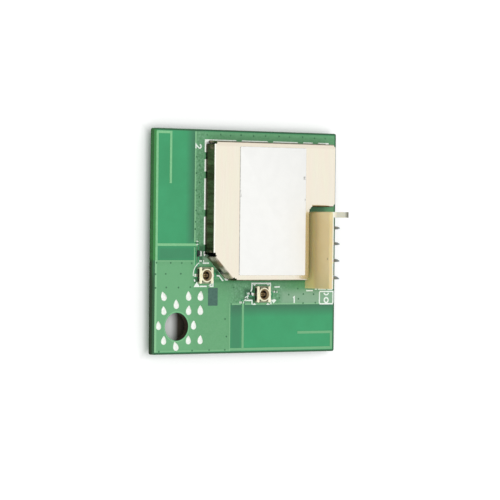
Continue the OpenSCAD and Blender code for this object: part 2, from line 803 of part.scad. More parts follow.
// Moulded package with bent leads along its two long sides
module leaded_chip(at, l, w, count, lead_pitch) {
    knee = w / 2 + (lead_reach - lead_t) / 3;
    foot = w / 2 + lead_reach;
    mid = leaded_h / 2;
    stand_off = 0.1;
    color([0.14, 0.14, 0.15])
    translate([at[0], at[1], copper_z]) {
        box(-l / 2, l / 2, -w / 2, w / 2, stand_off, leaded_h);
        for (s = [-1, 1], k = [0 : count - 1])
            translate([(k - (count - 1) / 2) * lead_pitch - s * lead_w / 2, 0, 0])
                rotate(s == 1 ? 0 : 180) rotate([90, 0, 90]) linear_extrude(lead_w) polygon([
                    [w / 2 - eps, mid], [knee, mid], [knee, 0], [foot, 0], [foot, lead_t],
                    [knee + lead_t, lead_t], [knee + lead_t, mid + lead_t],
                    [w / 2 - eps, mid + lead_t]
                ]);
    }
}

// Ceramic chip part: body between two end caps, lying along X before it is turned
module chip_part(at, turn, l, w, h, tint) {
    cap = l * 0.24;
    skin = 0.02;
    color(tint)
    translate([at[0], at[1], copper_z]) rotate(turn) {
        box(cap / 2 - l / 2, l / 2 - cap / 2, skin - w / 2, w / 2 - skin, skin, h - skin);
        for (s = [-1, 1])
            translate([s * (l / 2 - cap / 2), 0, h / 2]) cube([cap, w, h], center = true);
    }
}

module radio_chip() { leadless_chip(chip_at, chip_w, chip_h, chip_lands); }

module left_front_end() {
    y = can_y0 + can_slant + wall_gap + front_end_w / 2;
    leadless_chip([column_x, y], front_end_w, front_end_h, front_end_lands);
}

module lower_front_end() {
    y = inner_y0 + front_end_w / 2;
    leadless_chip([chip_at[0], y], front_end_w, front_end_h, front_end_lands);
}

module memory_chip() {
    y = inner_y1 - lead_reach - memory_w / 2;
    leaded_chip([column_x, y], memory_l, memory_w, 4, memory_pitch);
}

module regulator() {
    x = inner_x1 - regulator_l / 2;
    y = inner_y1 - lead_reach - regulator_w / 2;
    leaded_chip([x, y], regulator_l, regulator_w, 3, regulator_pitch);
}

// Crystal: ceramic tub with a metal lid
module crystal() {
    rim = crystal_w * 0.08;
    lid_t = 0.2;
    color([0.80, 0.80, 0.78])
    translate([chip_at[0] + beside, inner_y1 - crystal_w / 2, copper_z]) {
        box(-crystal_l / 2, crystal_l / 2, -crystal_w / 2, crystal_w / 2, 0, crystal_h);
        box(rim - crystal_l / 2, crystal_l / 2 - rim, rim - crystal_w / 2,
            crystal_w / 2 - rim, crystal_h - eps, crystal_h + lid_t);
    }
}

// Power coil: ferrite body with its round winding showing in a recess
module power_coil() {
    y = notch_y + can_t + wall_gap + coil_w / 2;
    color([0.30, 0.30, 0.31])
    translate([inner_x1 - coil_l / 2, y, copper_z]) difference() {
        box(-coil_l / 2, coil_l / 2, -coil_w / 2, coil_w / 2, 0, coil_h);
        translate([0, 0, coil_h * 0.8]) difference() {
            cylinder(r = coil_w * 0.4, h = coil_h);
            translate([0, 0, -coil_h]) cylinder(r = coil_w * 0.2, h = 3 * coil_h);
        }
    }
}

module capacitor(i) {
    turn = i < 6 ? 90 : 0;
    chip_part(chip_at + capacitor_at[i], turn, part_l, part_w, capacitor_h, [0.72, 0.60, 0.44]);
}

module resistor(i) {
    turn = i == 1 ? 0 : 90;
    chip_part(chip_at + resistor_at[i], turn, part_l, part_w, resistor_h, [0.16, 0.16, 0.17]);
}

// Smaller or larger matching part
module match_part(at, turn, large, tint) {
    chip_part(at, turn, large ? part_l : small_l, large ? part_w : small_w,
              large ? part_h : small_w, tint);
}

// Matching parts by the left socket: two on the feed's line, the second across its break,
// and a column of two between the line and the can
module left_match(i) {
    series_x = left_line_x + part_w / 2;
    side_x = series_x + part_w + match_gap;
    last_y = left_socket[1] + socket_w / 2 + match_clearance + small_w / 2;
    side_y = last_y + small_w / 2 + match_row_gap + part_l / 2;
    if (i == 0) match_part([left_line_x, left_feed[1] + small_l / 2], 90, false, pale);
    if (i == 1) match_part([series_x, series_y], 90, true, dark);
    if (i == 2) match_part([side_x, side_y], 90, true, pale);
    if (i == 3) match_part([side_x, last_y], 0, false, pale);
}

// Matching parts by the lower socket: three between the feed and the socket, the second
// turned across the corner, and one on the socket's far side
module lower_match(i) {
    last_x = lower_socket[0] + socket_w / 2 + tail_out + part_l;
    if (i == 0) match_part(lower_feed - [small_w, small_w], 0, false, pale);
    if (i == 1) match_part(lower_feed + [part_w, part_w / 2], 45, false, pale);
    if (i == 2) match_part(lower_feed + [part_l + strip_w / 2, part_l + strip_w / 4], 0, true, dark);
    if (i == 3) match_part([last_x, lower_socket[1] + strip_w], 0, false, pale);
}

circuit_board();
ground_copper();
left_antenna();
lower_antenna();
rf_lines();
solder_dots();
shield_pads();
shield_solder();
shield_can();
label();
header_housing();
for (i = [0 : 3]) {
    header_pin(i);
    header_joint(i);
    left_match(i);
    lower_match(i);
    resistor(i);
}
for (i = [0 : 7])
    capacitor(i);
socket_base(left_socket);  // left_socket_base
socket_shell(left_socket);  // left_socket_shell
socket_contact(left_socket);  // left_socket_contact
socket_spring(left_socket);  // left_socket_spring
socket_base(lower_socket);  // lower_socket_base
socket_shell(lower_socket);  // lower_socket_shell
socket_contact(lower_socket);  // lower_socket_contact
socket_spring(lower_socket);  // lower_socket_spring
radio_chip();
left_front_end();
lower_front_end();
crystal();
memory_chip();
regulator();
power_coil();
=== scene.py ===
import json
import math
import random

import bmesh
import bpy
from mathutils import Matrix, Vector


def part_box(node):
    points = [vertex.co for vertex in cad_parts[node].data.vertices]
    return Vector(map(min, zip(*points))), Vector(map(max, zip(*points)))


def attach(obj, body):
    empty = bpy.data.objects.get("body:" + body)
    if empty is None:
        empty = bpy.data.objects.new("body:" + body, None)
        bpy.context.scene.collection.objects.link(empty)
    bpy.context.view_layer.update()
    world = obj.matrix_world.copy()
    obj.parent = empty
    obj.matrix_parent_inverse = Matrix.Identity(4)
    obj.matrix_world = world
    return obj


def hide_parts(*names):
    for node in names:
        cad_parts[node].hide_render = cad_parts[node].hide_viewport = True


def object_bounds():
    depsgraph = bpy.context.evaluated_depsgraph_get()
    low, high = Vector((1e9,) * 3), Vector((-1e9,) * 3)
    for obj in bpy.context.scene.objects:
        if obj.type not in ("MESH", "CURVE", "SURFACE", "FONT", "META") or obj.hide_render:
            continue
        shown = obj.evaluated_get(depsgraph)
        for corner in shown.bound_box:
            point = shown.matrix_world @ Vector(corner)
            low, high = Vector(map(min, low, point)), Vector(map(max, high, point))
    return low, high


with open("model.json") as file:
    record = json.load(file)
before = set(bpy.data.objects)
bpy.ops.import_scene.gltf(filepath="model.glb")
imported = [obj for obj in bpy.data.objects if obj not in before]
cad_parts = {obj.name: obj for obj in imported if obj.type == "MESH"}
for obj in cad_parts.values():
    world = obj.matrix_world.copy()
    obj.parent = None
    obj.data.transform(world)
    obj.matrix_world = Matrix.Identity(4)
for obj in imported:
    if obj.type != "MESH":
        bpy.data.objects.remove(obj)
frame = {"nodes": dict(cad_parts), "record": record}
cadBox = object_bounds()
mounts = {mount["name"]: mount for mount in frame["record"]["mounts"]}
mm = 0.001
bodyName = "root"
random.seed(7)


# Sizes are in millimetres, in the frame's own axes, and finishPiece turns them to metres

def nodeBox(name):
    low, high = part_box(name)
    return Vector(low) / mm, Vector(high) / mm


def mountAt(name):
    return Vector(mounts[name]["pos_m"]) / mm


# Levels and edges that many pieces stand on
boardLow, boardHigh = nodeBox("circuit_board")
copperTop = nodeBox("ground_copper")[1].z
canLow, canHigh = nodeBox("shield_can")
headerLow, headerHigh = nodeBox("header_housing")
leftSocket, lowerSocket = mountAt("left_test_socket"), mountAt("lower_test_socket")
holeAt, holeRadius = mountAt("mounting_hole"), mounts["mounting_hole"]["dims"]["r_mm"]

# Where each antenna area ends, going in from the board's edges
zoneWide, zoneLong = 7.7, 14.8
zone = {"x": boardLow.x + zoneWide, "y": boardLow.y + zoneLong,
        "lowX": boardLow.x + zoneLong, "lowY": boardLow.y + zoneWide}


# Small helpers for shapes

shapeSizes = {"sharpDeg": 32, "softenOverDeg": 40, "merge": 0.0005, "flatDeg": 0.5, "mitre": 0.3}


def newObject(name, data):
    made = bpy.data.objects.new(name, data)
    bpy.context.scene.collection.objects.link(made)
    return made


def newMesh(name, bm, materials):
    mesh = bpy.data.meshes.new(name)
    bm.to_mesh(mesh)
    bm.free()
    for material in materials:
        mesh.materials.append(material)
    return mesh


def finishPiece(name, bm, materials, stands=()):
    bmesh.ops.recalc_face_normals(bm, faces=bm.faces)
    bmesh.ops.scale(bm, vec=(mm, mm, mm), verts=bm.verts)
    mesh = newMesh(name, bm, materials)
    mesh.shade_smooth()
    mesh.set_sharp_from_angle(angle=math.radians(shapeSizes["sharpDeg"]))
    piece = newObject(name, mesh)
    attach(piece, bodyName)
    if stands:
        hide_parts(*stands)


def bevelEdges(bm, edges, offset, segments=2, clamp=False):
    return bmesh.ops.bevel(bm, geom=list(edges), offset=offset, offset_type="OFFSET", affect="EDGES",
                           segments=segments, profile=0.5, material=-1, clamp_overlap=clamp)


def pull(bm, faces, move):
    # faces extruded and moved; gives back the moved points
    out = bmesh.ops.extrude_face_region(bm, geom=faces)["geom"]
    verts = [g for g in out if isinstance(g, bmesh.types.BMVert)]
    bmesh.ops.translate(bm, vec=move, verts=verts)
    return verts


def setIndex(faces, index):
    for face in faces:
        if face.is_valid:
            face.material_index = index


def addBlock(bm, low, high, bevel, segments, index=0):
    low, high = Vector(low), Vector(high)
    place = Matrix.Translation((low + high) / 2) @ Matrix.Diagonal((*(high - low), 1))
    made = bmesh.ops.create_cube(bm, size=1, matrix=place)["verts"]
    out = bevelEdges(bm, {e for v in made for e in v.link_edges}, bevel, segments)
    setIndex({f for v in out["verts"] for f in v.link_faces} | set(out["faces"]), index)


def addDisc(bm, center, radius, depth, segments, top=None):
    place = Matrix.Translation(Vector(center) + Vector((0, 0, depth / 2)))
    bmesh.ops.create_cone(bm, cap_ends=True, segments=segments, radius1=radius,
                          radius2=top or radius, depth=depth, matrix=place)


def addRing(bm, center, inner, outer, z0, z1, steps):
    # a small rectangle beside the axis, spun round it
    corners = [(inner, z0), (outer, z0), (outer, z1), (inner, z1)]
    face = bm.faces.new([bm.verts.new((center[0] + r, center[1], z)) for r, z in corners])
    bmesh.ops.spin(bm, geom=[face, *face.edges, *face.verts], cent=(*center, 0), axis=(0, 0, 1),
                   angle=math.tau, steps=steps, use_merge=True, use_duplicate=False)


def addStroke(bm, points, width, z0, z1):
    # a flat line with mitred corners, pulled along its points from one short edge
    points = [Vector((*p, z0)) for p in points]
    heads = [(b - a).normalized() for a, b in zip(points, points[1:])]
    ends = []
    for i, point in enumerate(points):
        before = heads[max(i - 1, 0)]
        after = heads[min(i, len(heads) - 1)]
        along = (before + after).normalized()
        reach = width / 2 / max(along.dot(after), shapeSizes["mitre"])
        side = Vector((-along.y, along.x, 0)) * reach
        ends.append((point + side, point - side))
    edge = bm.edges.new([bm.verts.new(p) for p in ends[0]])
    faces = []
    for left, right in ends[1:]:
        out = bmesh.ops.extrude_edge_only(bm, edges=[edge])["geom"]
        edge = next(g for g in out if isinstance(g, bmesh.types.BMEdge))
        edge.verts[0].co, edge.verts[1].co = left, right
        faces += [g for g in out if isinstance(g, bmesh.types.BMFace)]
    pull(bm, faces, (0, 0, z1 - z0))


def addSlab(bm, corners, z0, z1):
    face = bm.faces.new([bm.verts.new((*c, z0)) for c in corners])
    pull(bm, [face], (0, 0, z1 - z0))


def nodeCopy(name):
    # a CAD node's triangles, merged and with its flat faces joined again
    bm = bmesh.new()
    bm.from_mesh(frame["nodes"][name].data)
    bmesh.ops.scale(bm, vec=(1 / mm, 1 / mm, 1 / mm), verts=bm.verts)
    bmesh.ops.remove_doubles(bm, verts=bm.verts, dist=shapeSizes["merge"])
    bmesh.ops.dissolve_limit(bm, angle_limit=math.radians(shapeSizes["flatDeg"]), verts=bm.verts,
                             edges=bm.edges)
    return bm


def softenEdges(bm, offset):
    over = math.radians(shapeSizes["softenOverDeg"])
    sharp = [e for e in bm.edges if e.is_manifold and e.calc_face_angle() > over]
    bevelEdges(bm, sharp, offset, clamp=True)


# Small helpers for materials

anyHeight = 9  # masks that reach this far up or down take in every height


def paintBox(**tones):
    # screen colours from 0 to 255 as the linear colours that the shader takes
    def linear(level):
        level /= 255
        return level / 12.92 if level <= 0.04045 else ((level + 0.055) / 1.055) ** 2.4
    return {name: (*map(linear, tone), 1.0) for name, tone in tones.items()}


def setInput(tree, node, key, value):
    if isinstance(value, bpy.types.NodeSocket):
        tree.links.new(value, node.inputs[key])
    else:
        node.inputs[key].default_value = value


def addNode(tree, kind, inputs=(), **settings):
    node = tree.nodes.new(kind)
    for key, value in settings.items():
        setattr(node, key, value)
    for key, value in dict(inputs).items():
        setInput(tree, node, key, value)
    return node


def mathNode(tree, operation, first, second=0.0, clamp=False):
    return addNode(tree, "ShaderNodeMath", {0: first, 1: second}, operation=operation,
                   use_clamp=clamp).outputs[0]


def times(tree, first, second):
    return mathNode(tree, "MULTIPLY", first, second)


def vectorNode(tree, operation, inputs):
    return addNode(tree, "ShaderNodeVectorMath", dict(enumerate(inputs)), operation=operation).outputs


def partsOf(tree, vector):
    return addNode(tree, "ShaderNodeSeparateXYZ", {0: vector}).outputs


def normalOf(tree):
    return partsOf(tree, addNode(tree, "ShaderNodeNewGeometry").outputs["Normal"])


def noiseOf(tree, where, scale, detail):
    return addNode(tree, "ShaderNodeTexNoise",
                   {"Vector": where, "Scale": scale, "Detail": detail}).outputs["Fac"]


def mixColor(tree, amount, first, second):
    node = addNode(tree, "ShaderNodeMix", data_type="RGBA")
    for key, value in (("Factor", amount), (6, first), (7, second)):
        setInput(tree, node, key, value)
    return node.outputs[2]


def mapRange(tree, value, low, high, start=0.0, end=1.0, smooth=True):
    return addNode(tree, "ShaderNodeMapRange",
                   {"Value": value, "From Min": low, "From Max": high, "To Min": start, "To Max": end},
                   interpolation_type="SMOOTHSTEP" if smooth else "LINEAR").outputs["Result"]


def newGroup(name, inputs, outputs):
    # an input's default value gives its kind: a number, a vector of 3 or a colour of 4
    group = bpy.data.node_groups.new(name, "ShaderNodeTree")
    for key, value in inputs.items():
        kind = {3: "Vector", 4: "Color"}[len(value)] if isinstance(value, tuple) else "Float"
        socket = group.interface.new_socket(name=key, in_out="INPUT", socket_type=f"NodeSocket{kind}")
        socket.default_value = value
    for key, kind in outputs.items():
        group.interface.new_socket(name=key, in_out="OUTPUT", socket_type=f"NodeSocket{kind}")
    start = group.nodes.new("NodeGroupInput")
    end = group.nodes.new("NodeGroupOutput")
    return group, start.outputs, end.inputs


def buildPlaceGroup():
    # Object coordinates in millimetres
    group, _, end = newGroup("placeInMillimetres", {}, {"Vector": "Vector"})
    place = addNode(group, "ShaderNodeTexCoord")
    scale = addNode(group, "ShaderNodeMapping",
                    {"Vector": place.outputs["Object"], "Scale": (1 / mm, 1 / mm, 1 / mm)})
    group.links.new(scale.outputs["Vector"], end["Vector"])
    return group


def buildUnevenGroup():
    # two colours mixed by cloudy noise, and the noise itself
    group, start, end = newGroup(
        "unevenColour",
        {"Vector": (0, 0, 0), "Colour": (1, 1, 1, 1), "Shade": (0, 0, 0, 1), "Scale": 1.0,
         "Amount": 0.5, "Stretch": (1, 1, 1)}, {"Colour": "Color", "Value": "Float"})
    turned = addNode(group, "ShaderNodeMapping", {"Vector": start["Vector"], "Scale": start["Stretch"]})
    noise = addNode(group, "ShaderNodeTexNoise",
                    {"Vector": turned.outputs["Vector"], "Scale": start["Scale"], "Detail": 4.0,
                     "Roughness": 0.6})
    spread = mapRange(group, noise.outputs["Fac"], 0.3, 0.7)
    amount = mathNode(group, "MULTIPLY", spread, start["Amount"], clamp=True)
    group.links.new(mixColor(group, amount, start["Colour"], start["Shade"]), end["Colour"])
    group.links.new(spread, end["Value"])
    return group


def buildAreaGroup():
    # 1 inside a box round Centre with soft edges, 0 outside
    group, start, end = newGroup("areaMask", {"Vector": (0, 0, 0), "Centre": (0, 0, 0),
                                              "Half": (1, 1, 1), "Softness": 0.1}, {"Mask": "Float"})
    away = vectorNode(group, "SUBTRACT", (start["Vector"], start["Centre"]))[0]
    size = vectorNode(group, "ABSOLUTE", (away,))[0]
    over = partsOf(group, vectorNode(group, "SUBTRACT", (size, start["Half"]))[0])
    worst = mathNode(group, "MAXIMUM", mathNode(group, "MAXIMUM", over[0], over[1]), over[2])
    scaled = mathNode(group, "DIVIDE", worst, start["Softness"])
    group.links.new(mathNode(group, "SUBTRACT", 0.5, scaled, clamp=True), end["Mask"])
    return group


def buildRingGroup():
    # 1 on a flat ring round Centre
    group, start, end = newGroup("ringMask", {"Vector": (0, 0, 0), "Centre": (0, 0, 0), "Radius": 1.0,
                                              "Width": 0.1, "Softness": 0.05}, {"Mask": "Float"})
    away = vectorNode(group, "SUBTRACT", (start["Vector"], start["Centre"]))[0]
    flat = vectorNode(group, "MULTIPLY", (away, (1, 1, 0)))[0]
    reach = vectorNode(group, "LENGTH", (flat,))["Value"]
    offRing = mathNode(group, "ABSOLUTE", mathNode(group, "SUBTRACT", reach, start["Radius"]))
    past = mathNode(group, "SUBTRACT", offRing, times(group, start["Width"], 0.5))
    scaled = mathNode(group, "DIVIDE", past, start["Softness"])
    group.links.new(mathNode(group, "SUBTRACT", 0.5, scaled, clamp=True), end["Mask"])
    return group


def buildEdgeGroup():
    # 1 where a surface turns within Radius, for brighter edges: painted highlights, and lighter lacquer
    # where the copper ends
    group, start, end = newGroup("edgeMask", {"Radius": 0.05, "Strength": 3.0}, {"Mask": "Float"})
    rounded = addNode(group, "ShaderNodeBevel", {"Radius": times(group, start["Radius"], mm)}, samples=6)
    plain = addNode(group, "ShaderNodeNewGeometry")
    match = vectorNode(group, "DOT_PRODUCT", (rounded.outputs["Normal"], plain.outputs["Normal"]))
    turned = mathNode(group, "SUBTRACT", 1.0, match["Value"])
    group.links.new(mathNode(group, "MULTIPLY", turned, start["Strength"], clamp=True), end["Mask"])
    return group


placeGroup = buildPlaceGroup()
unevenGroup = buildUnevenGroup()
areaGroup = buildAreaGroup()
ringGroup = buildRingGroup()
edgeGroup = buildEdgeGroup()


def useGroup(tree, group, **inputs):
    return addNode(tree, "ShaderNodeGroup", inputs, node_tree=group).outputs


def dress(tree, shader, **inputs):
    for key, value in inputs.items():
        setInput(tree, shader, key.replace("_", " "), value)


def newMaterial(name, **uniform):
    material = bpy.data.materials.new(name)
    material.use_nodes = True
    tree = material.node_tree
    shader = tree.nodes["Principled BSDF"]
    dress(tree, shader, **uniform)
    where = useGroup(tree, placeGroup)["Vector"]
    return material, tree, shader, where


def uneven(tree, where, colour, shade, scale, amount, stretch=(1, 1, 1)):
    return useGroup(tree, unevenGroup, Vector=where, Colour=colour, Shade=shade, Scale=scale,
                    Amount=amount, Stretch=stretch)


def area(tree, where, low, high, softness):
    # corners with no height take in every height
    low, high = Vector((*low, -anyHeight)[:3]), Vector((*high, anyHeight)[:3])
    return useGroup(tree, areaGroup, Vector=where, Centre=(low + high) / 2, Half=(high - low) / 2,
                    Softness=softness)["Mask"]


def tint(tree, where, face, paints, patches):
    # soft patches of other colours: low corner, high corner, softness, paint, amount
    for low, high, softness, tone, amount in patches:
        mask = area(tree, where, low, high, softness)
        face = mixColor(tree, times(tree, mask, amount), face, paints[tone])
    return face


def tintRing(tree, where, face, center, radius, colour, width, softness, amount):
    mask = useGroup(tree, ringGroup, Vector=where, Centre=center, Radius=radius, Width=width,
                    Softness=softness)["Mask"]
    return mixColor(tree, times(tree, mask, amount), face, colour)


def tintEdges(tree, face, colour, radius, strength):
    edge = useGroup(tree, edgeGroup, Radius=radius, Strength=strength)["Mask"]
    return mixColor(tree, edge, face, colour)


def sideMask(tree, low=0.35, high=0.75):
    # 1 on upright walls, 0 on level faces
    return mapRange(tree, mathNode(tree, "ABSOLUTE", normalOf(tree)[2]), high, low)


def bump(tree, shader, height, strength, deep):
    node = addNode(tree, "ShaderNodeBump",
                   {"Height": height, "Strength": strength, "Distance": deep * mm})
    dress(tree, shader, Normal=node.outputs["Normal"])


def give(nodeNames, material):
    for name in nodeNames:
        for slot in frame["nodes"][name].material_slots:
            slot.material = material


# Camera

cameraSizes = {"tiltDeg": 35.32, "leanDeg": 0.52, "rollDeg": 0.61, "distance": 451.8,
               "aim": (0.79, -1.29, 1.0), "lens": 203.3, "sensor": 36.0, "clip": (0.01, 20)}


def makeCamera(sizes):
    tilt, lean, roll = (math.radians(sizes[key]) for key in ("tiltDeg", "leanDeg", "rollDeg"))
    back = Vector((-math.sin(tilt) * math.cos(lean), math.sin(lean), math.cos(tilt) * math.cos(lean)))
    right = Vector((0, 1, 0)).cross(back).normalized()
    turn = Matrix((right, back.cross(right), back)).transposed() @ Matrix.Rotation(roll, 3, "Z")
    data = bpy.data.cameras.new("camera")
    data.lens = sizes["lens"]
    data.sensor_width = sizes["sensor"]
    data.clip_start, data.clip_end = sizes["clip"]
    camera = newObject("camera", data)
    camera.matrix_world = Matrix.Translation((Vector(sizes["aim"]) + back * sizes["distance"]) * mm) \
        @ turn.to_4x4()
    bpy.context.scene.camera = camera


makeCamera(cameraSizes)
print("camera placed")


# Board

boardPaints = paintBox(
    bare=(65, 162, 110), bareShade=(60, 150, 100), bareDark=(66, 108, 86), leftRim=(62, 134, 66),
    pour=(96, 160, 110), pourShade=(76, 142, 94), pourPale=(112, 178, 128), grey=(142, 180, 150),
    line=(146, 204, 154), strip=(136, 202, 148), stripShade=(118, 184, 130), stripLow=(112, 174, 126),
    border=(50, 96, 64), underCan=(14, 24, 16), damp=(40, 84, 56), wall=(54, 122, 62),
    wallDark=(34, 52, 32), holeWall=(48, 38, 26), mottle=(128, 184, 142), seamPale=(140, 172, 144))


def boardPatches():
    # where the lacquer on bare laminate is darker, greyer or yellower
    low, high = boardLow, boardHigh
    return [
        ((low.x, zone["y"]), (low.x + 0.42, high.y), 0.1, "leftRim", 0.9),
        ((zone["x"] - 0.8, zone["y"] + 3), (zone["x"] + 1, high.y), 1.8, "bareDark", 0.85),
        ((low.x, low.y), (low.x + 0.42, zone["y"]), 0.1, "border", 0.9),
        # painted shade along the left edge's lower part, like the wall below it
        ((low.x, low.y), (low.x + 0.36, -6), 3.0, "wallDark", 0.8),
        ((low.x + 1, zone["y"]), (zone["x"], zone["y"] + 2.1), 0.8, "bareDark", 0.4),
        ((zone["lowX"], zone["lowY"] - 1.1), (high.x, zone["lowY"] + 1), 1.8, "bareDark", 0.75),
        ((zone["lowX"], low.y), (zone["lowX"] + 2.2, zone["lowY"]), 0.8, "bareDark", 0.45),
        ((low.x + 1.5, 10), (low.x + 3.2, 15), 2.5, "bareShade", 0.8)]


def buildBoardLacquer(paints):
    # green lacquer on bare laminate; the board's walls show the cut glass layers
    material, tree, shader, where = newMaterial("lacquerOnLaminate", Specular_IOR_Level=0.3)
    face = uneven(tree, where, paints["bare"], paints["bareShade"], 0.3, 0.5)["Colour"]
    face = tint(tree, where, face, paints, boardPatches())
    # the free border beyond the copper, and the free ring round the hole
    inset, past = 0.28, Vector((1, 1, 0))
    low, high = boardLow - past, boardHigh + past
    inner = area(tree, where, (low.x, boardLow.y + inset), (boardHigh.x - inset, boardHigh.y - inset),
                 0.06)
    face = mixColor(tree, inner, paints["border"], face)
    face = tintRing(tree, where, face, holeAt, holeRadius + 0.13, paints["line"], width=0.16,
                    softness=0.06, amount=0.8)
    # the back is poured copper too, outside both antenna areas
    poured = mapRange(tree, normalOf(tree)[2], -0.4, -0.8)
    for start, end in (((low.x, zone["y"]), (zone["x"], high.y)),
                       ((zone["lowX"], low.y), (high.x, zone["lowY"]))):
        poured = mathNode(tree, "SUBTRACT", poured, area(tree, where, start, end, 0.03), clamp=True)
    face = mixColor(tree, poured, face, paints["pour"])
    # walls: glass layers, and painted shade that makes them darker towards the lower end of the board,
    # along their foot and in the hole
    wall = uneven(tree, where, paints["wall"], paints["wallDark"], 1.1, 0.35, (1, 0.4, 3))["Colour"]
    wall = uneven(tree, where, wall, paints["wallDark"], 4.0, 0.4, (1, 1, 0.3))["Colour"]
    wall = tint(tree, where, wall, paints, [
        ((low.x, low.y), (high.x, zone["y"], 0.75), 0.5, "wallDark", 0.9),
        ((low.x, low.y), (boardLow.x + 1, zone["y"] - 3), 3.0, "wallDark", 0.75),
        ((low.x, low.y), (high.x, high.y, 0.16), 0.2, "wallDark", 0.7)])
    wall = tintRing(tree, where, wall, holeAt, holeRadius, paints["holeWall"], width=0.1,
                    softness=0.05, amount=1.0)
    side = sideMask(tree)
    dress(tree, shader, Base_Color=mixColor(tree, side, face, wall),
          Roughness=mapRange(tree, side, 0, 1, 0.32, 0.8))
    bump(tree, shader, noiseOf(tree, where, 5.0, 3.0), strength=0.25, deep=0.02)
    return material


def pourPatches():
    # lighter lacquer at the left, below and at the right, lines where the copper ends, and painted shade
    # round the can and the sockets
    low, high = boardLow, boardHigh
    left, lower, leftEnd, lowerEnd = zone["x"], zone["lowY"], zone["y"], zone["lowX"]
    can, one, two = canLow, leftSocket, lowerSocket
    return [
        ((low.x, low.y), (left, leftEnd), 2.0, "pourPale", 0.75),
        ((left, low.y), (lowerEnd, lower + 2), 2.0, "pourPale", 0.45),
        ((7.0, lower), (high.x, lower + 2.2), 1.2, "grey", 0.85),
        ((11.5, lower), (14.5, lower + 2.0), 1.0, "grey", 0.6),
        ((left - 0.02, leftEnd - 2.5), (left + 0.24, high.y), 0.1, "line", 0.75),
        ((low.x, leftEnd - 0.22), (left + 0.24, leftEnd + 0.02), 0.1, "line", 0.35),
        ((lowerEnd, lower - 0.02), (high.x, lower + 0.2), 0.1, "line", 0.6),
        ((lowerEnd - 0.2, low.y), (lowerEnd + 0.02, lower + 0.2), 0.1, "line", 0.4),
        ((low.x, low.y), (low.x + 0.72, leftEnd), 0.1, "line", 0.8),
        ((low.x, low.y), (lowerEnd, low.y + 0.6), 0.12, "line", 0.35),
        ((left + 0.5, 17.0), (high.x - 0.3, 17.25), 0.2, "pourPale", 0.3),
        # painted shadow along the can's lower edge
        ((can.x - 0.4, can.y - 0.35), (canHigh.x, can.y + 0.2), 0.3, "pourShade", 0.9),
        # painted shade: near black under the can
        ((can.x - 0.05, can.y + 3.5), (can.x + 9, canHigh.y - 0.1), 0.15, "underCan", 1.0),
        # dark patches beside the sockets and the can: partly dark lacquer round the parts, partly painted
        # shadow
        ((one.x - 1.8, one.y - 1.2), (one.x - 1.2, one.y + 1.4), 0.5, "damp", 0.8),
        ((one.x - 1.5, one.y + 2.2), (one.x - 0.1, one.y + 4.6), 0.6, "damp", 0.55),
        ((two.x - 1.9, two.y - 1.3), (two.x - 1.2, two.y + 1.3), 0.5, "damp", 0.8),
        ((two.x - 3.4, two.y - 0.8), (two.x - 1.8, two.y + 0.9), 0.7, "damp", 0.85),
        ((can.x - 1.35, can.y + 2.95), (can.x + 0.4, can.y + 5.6), 0.6, "damp", 0.45),
        ((can.x - 0.4, can.y + 2.7), (can.x + 0.75, can.y + 3.75), 0.5, "seamPale", 0.75),
        ((can.x + 1.9, can.y + 0.9), (can.x + 2.7, can.y + 1.6), 0.5, "damp", 0.9)]


def buildPourLacquer(paints):
    # lacquer over copper: greyer, mottled, with a lighter line where the copper ends
    material, tree, shader, where = newMaterial("lacquerOnCopper", Roughness=0.34, Specular_IOR_Level=0.3)
    face = uneven(tree, where, paints["pour"], paints["pourShade"], 1.6, 0.4)["Colour"]
    face = uneven(tree, where, face, paints["grey"], 3.5, 0.2)["Colour"]
    # finer clouds beside the can and the sockets, where traces run under the lacquer
    busy = area(tree, where, (zone["x"], -6), (canLow.x, boardHigh.y), 1.0)
    busyLow = area(tree, where, (-3, zone["lowY"]), (8, canLow.y), 2.0)
    clouds = uneven(tree, where, face, paints["mottle"], 2.6, 0.95)
    clouds = uneven(tree, where, clouds["Colour"], paints["damp"], 4.2, 0.4)["Colour"]
    face = mixColor(tree, mathNode(tree, "MAXIMUM", busy, busyLow), face, clouds)
    face = tint(tree, where, face, paints, pourPatches())
    face = tintRing(tree, where, face, holeAt, holeRadius + 0.16, paints["line"], width=0.14,
                    softness=0.06, amount=0.6)
    dress(tree, shader, Base_Color=tintEdges(tree, face, paints["line"], radius=0.05, strength=2.0))
    bump(tree, shader, noiseOf(tree, where, 3.0, 4.0), strength=0.35, deep=0.03)
    return material


def buildStripLacquer(paints):
    material, tree, shader, where = newMaterial("lacquerOnStrips", Roughness=0.34, Specular_IOR_Level=0.3)
    face = uneven(tree, where, paints["strip"], paints["stripShade"], 2.0, 0.6)["Colour"]
    face = tint(tree, where, face, paints, [
        ((boardLow.x, boardLow.y), (boardHigh.x, zone["lowY"]), 1.0, "stripLow", 0.8)])
    dress(tree, shader, Base_Color=tintEdges(tree, face, paints["line"], radius=0.04, strength=2.0))
    bump(tree, shader, noiseOf(tree, where, 4.0, 3.0), strength=0.3, deep=0.03)
    return material


give(["circuit_board"], buildBoardLacquer(boardPaints))
give(["ground_copper", "rf_lines"], buildPourLacquer(boardPaints))
give(["left_antenna", "lower_antenna"], buildStripLacquer(boardPaints))
print("board and copper finished")


# Tin and solder

metalPaints = paintBox(
    tin=(253, 255, 250), tinShade=(214, 226, 212), pin=(166, 176, 182), pinShade=(126, 136, 142),
    gold=(236, 214, 160), goldShade=(176, 140, 78), shell=(255, 252, 226), shellShade=(246, 232, 190),
    funnel=(120, 92, 44), bore=(76, 56, 26), tan=(196, 170, 112), sill=(122, 134, 104), seam=(70, 72, 54),
    seamDark=(20, 32, 18), seamPale=(132, 164, 136))


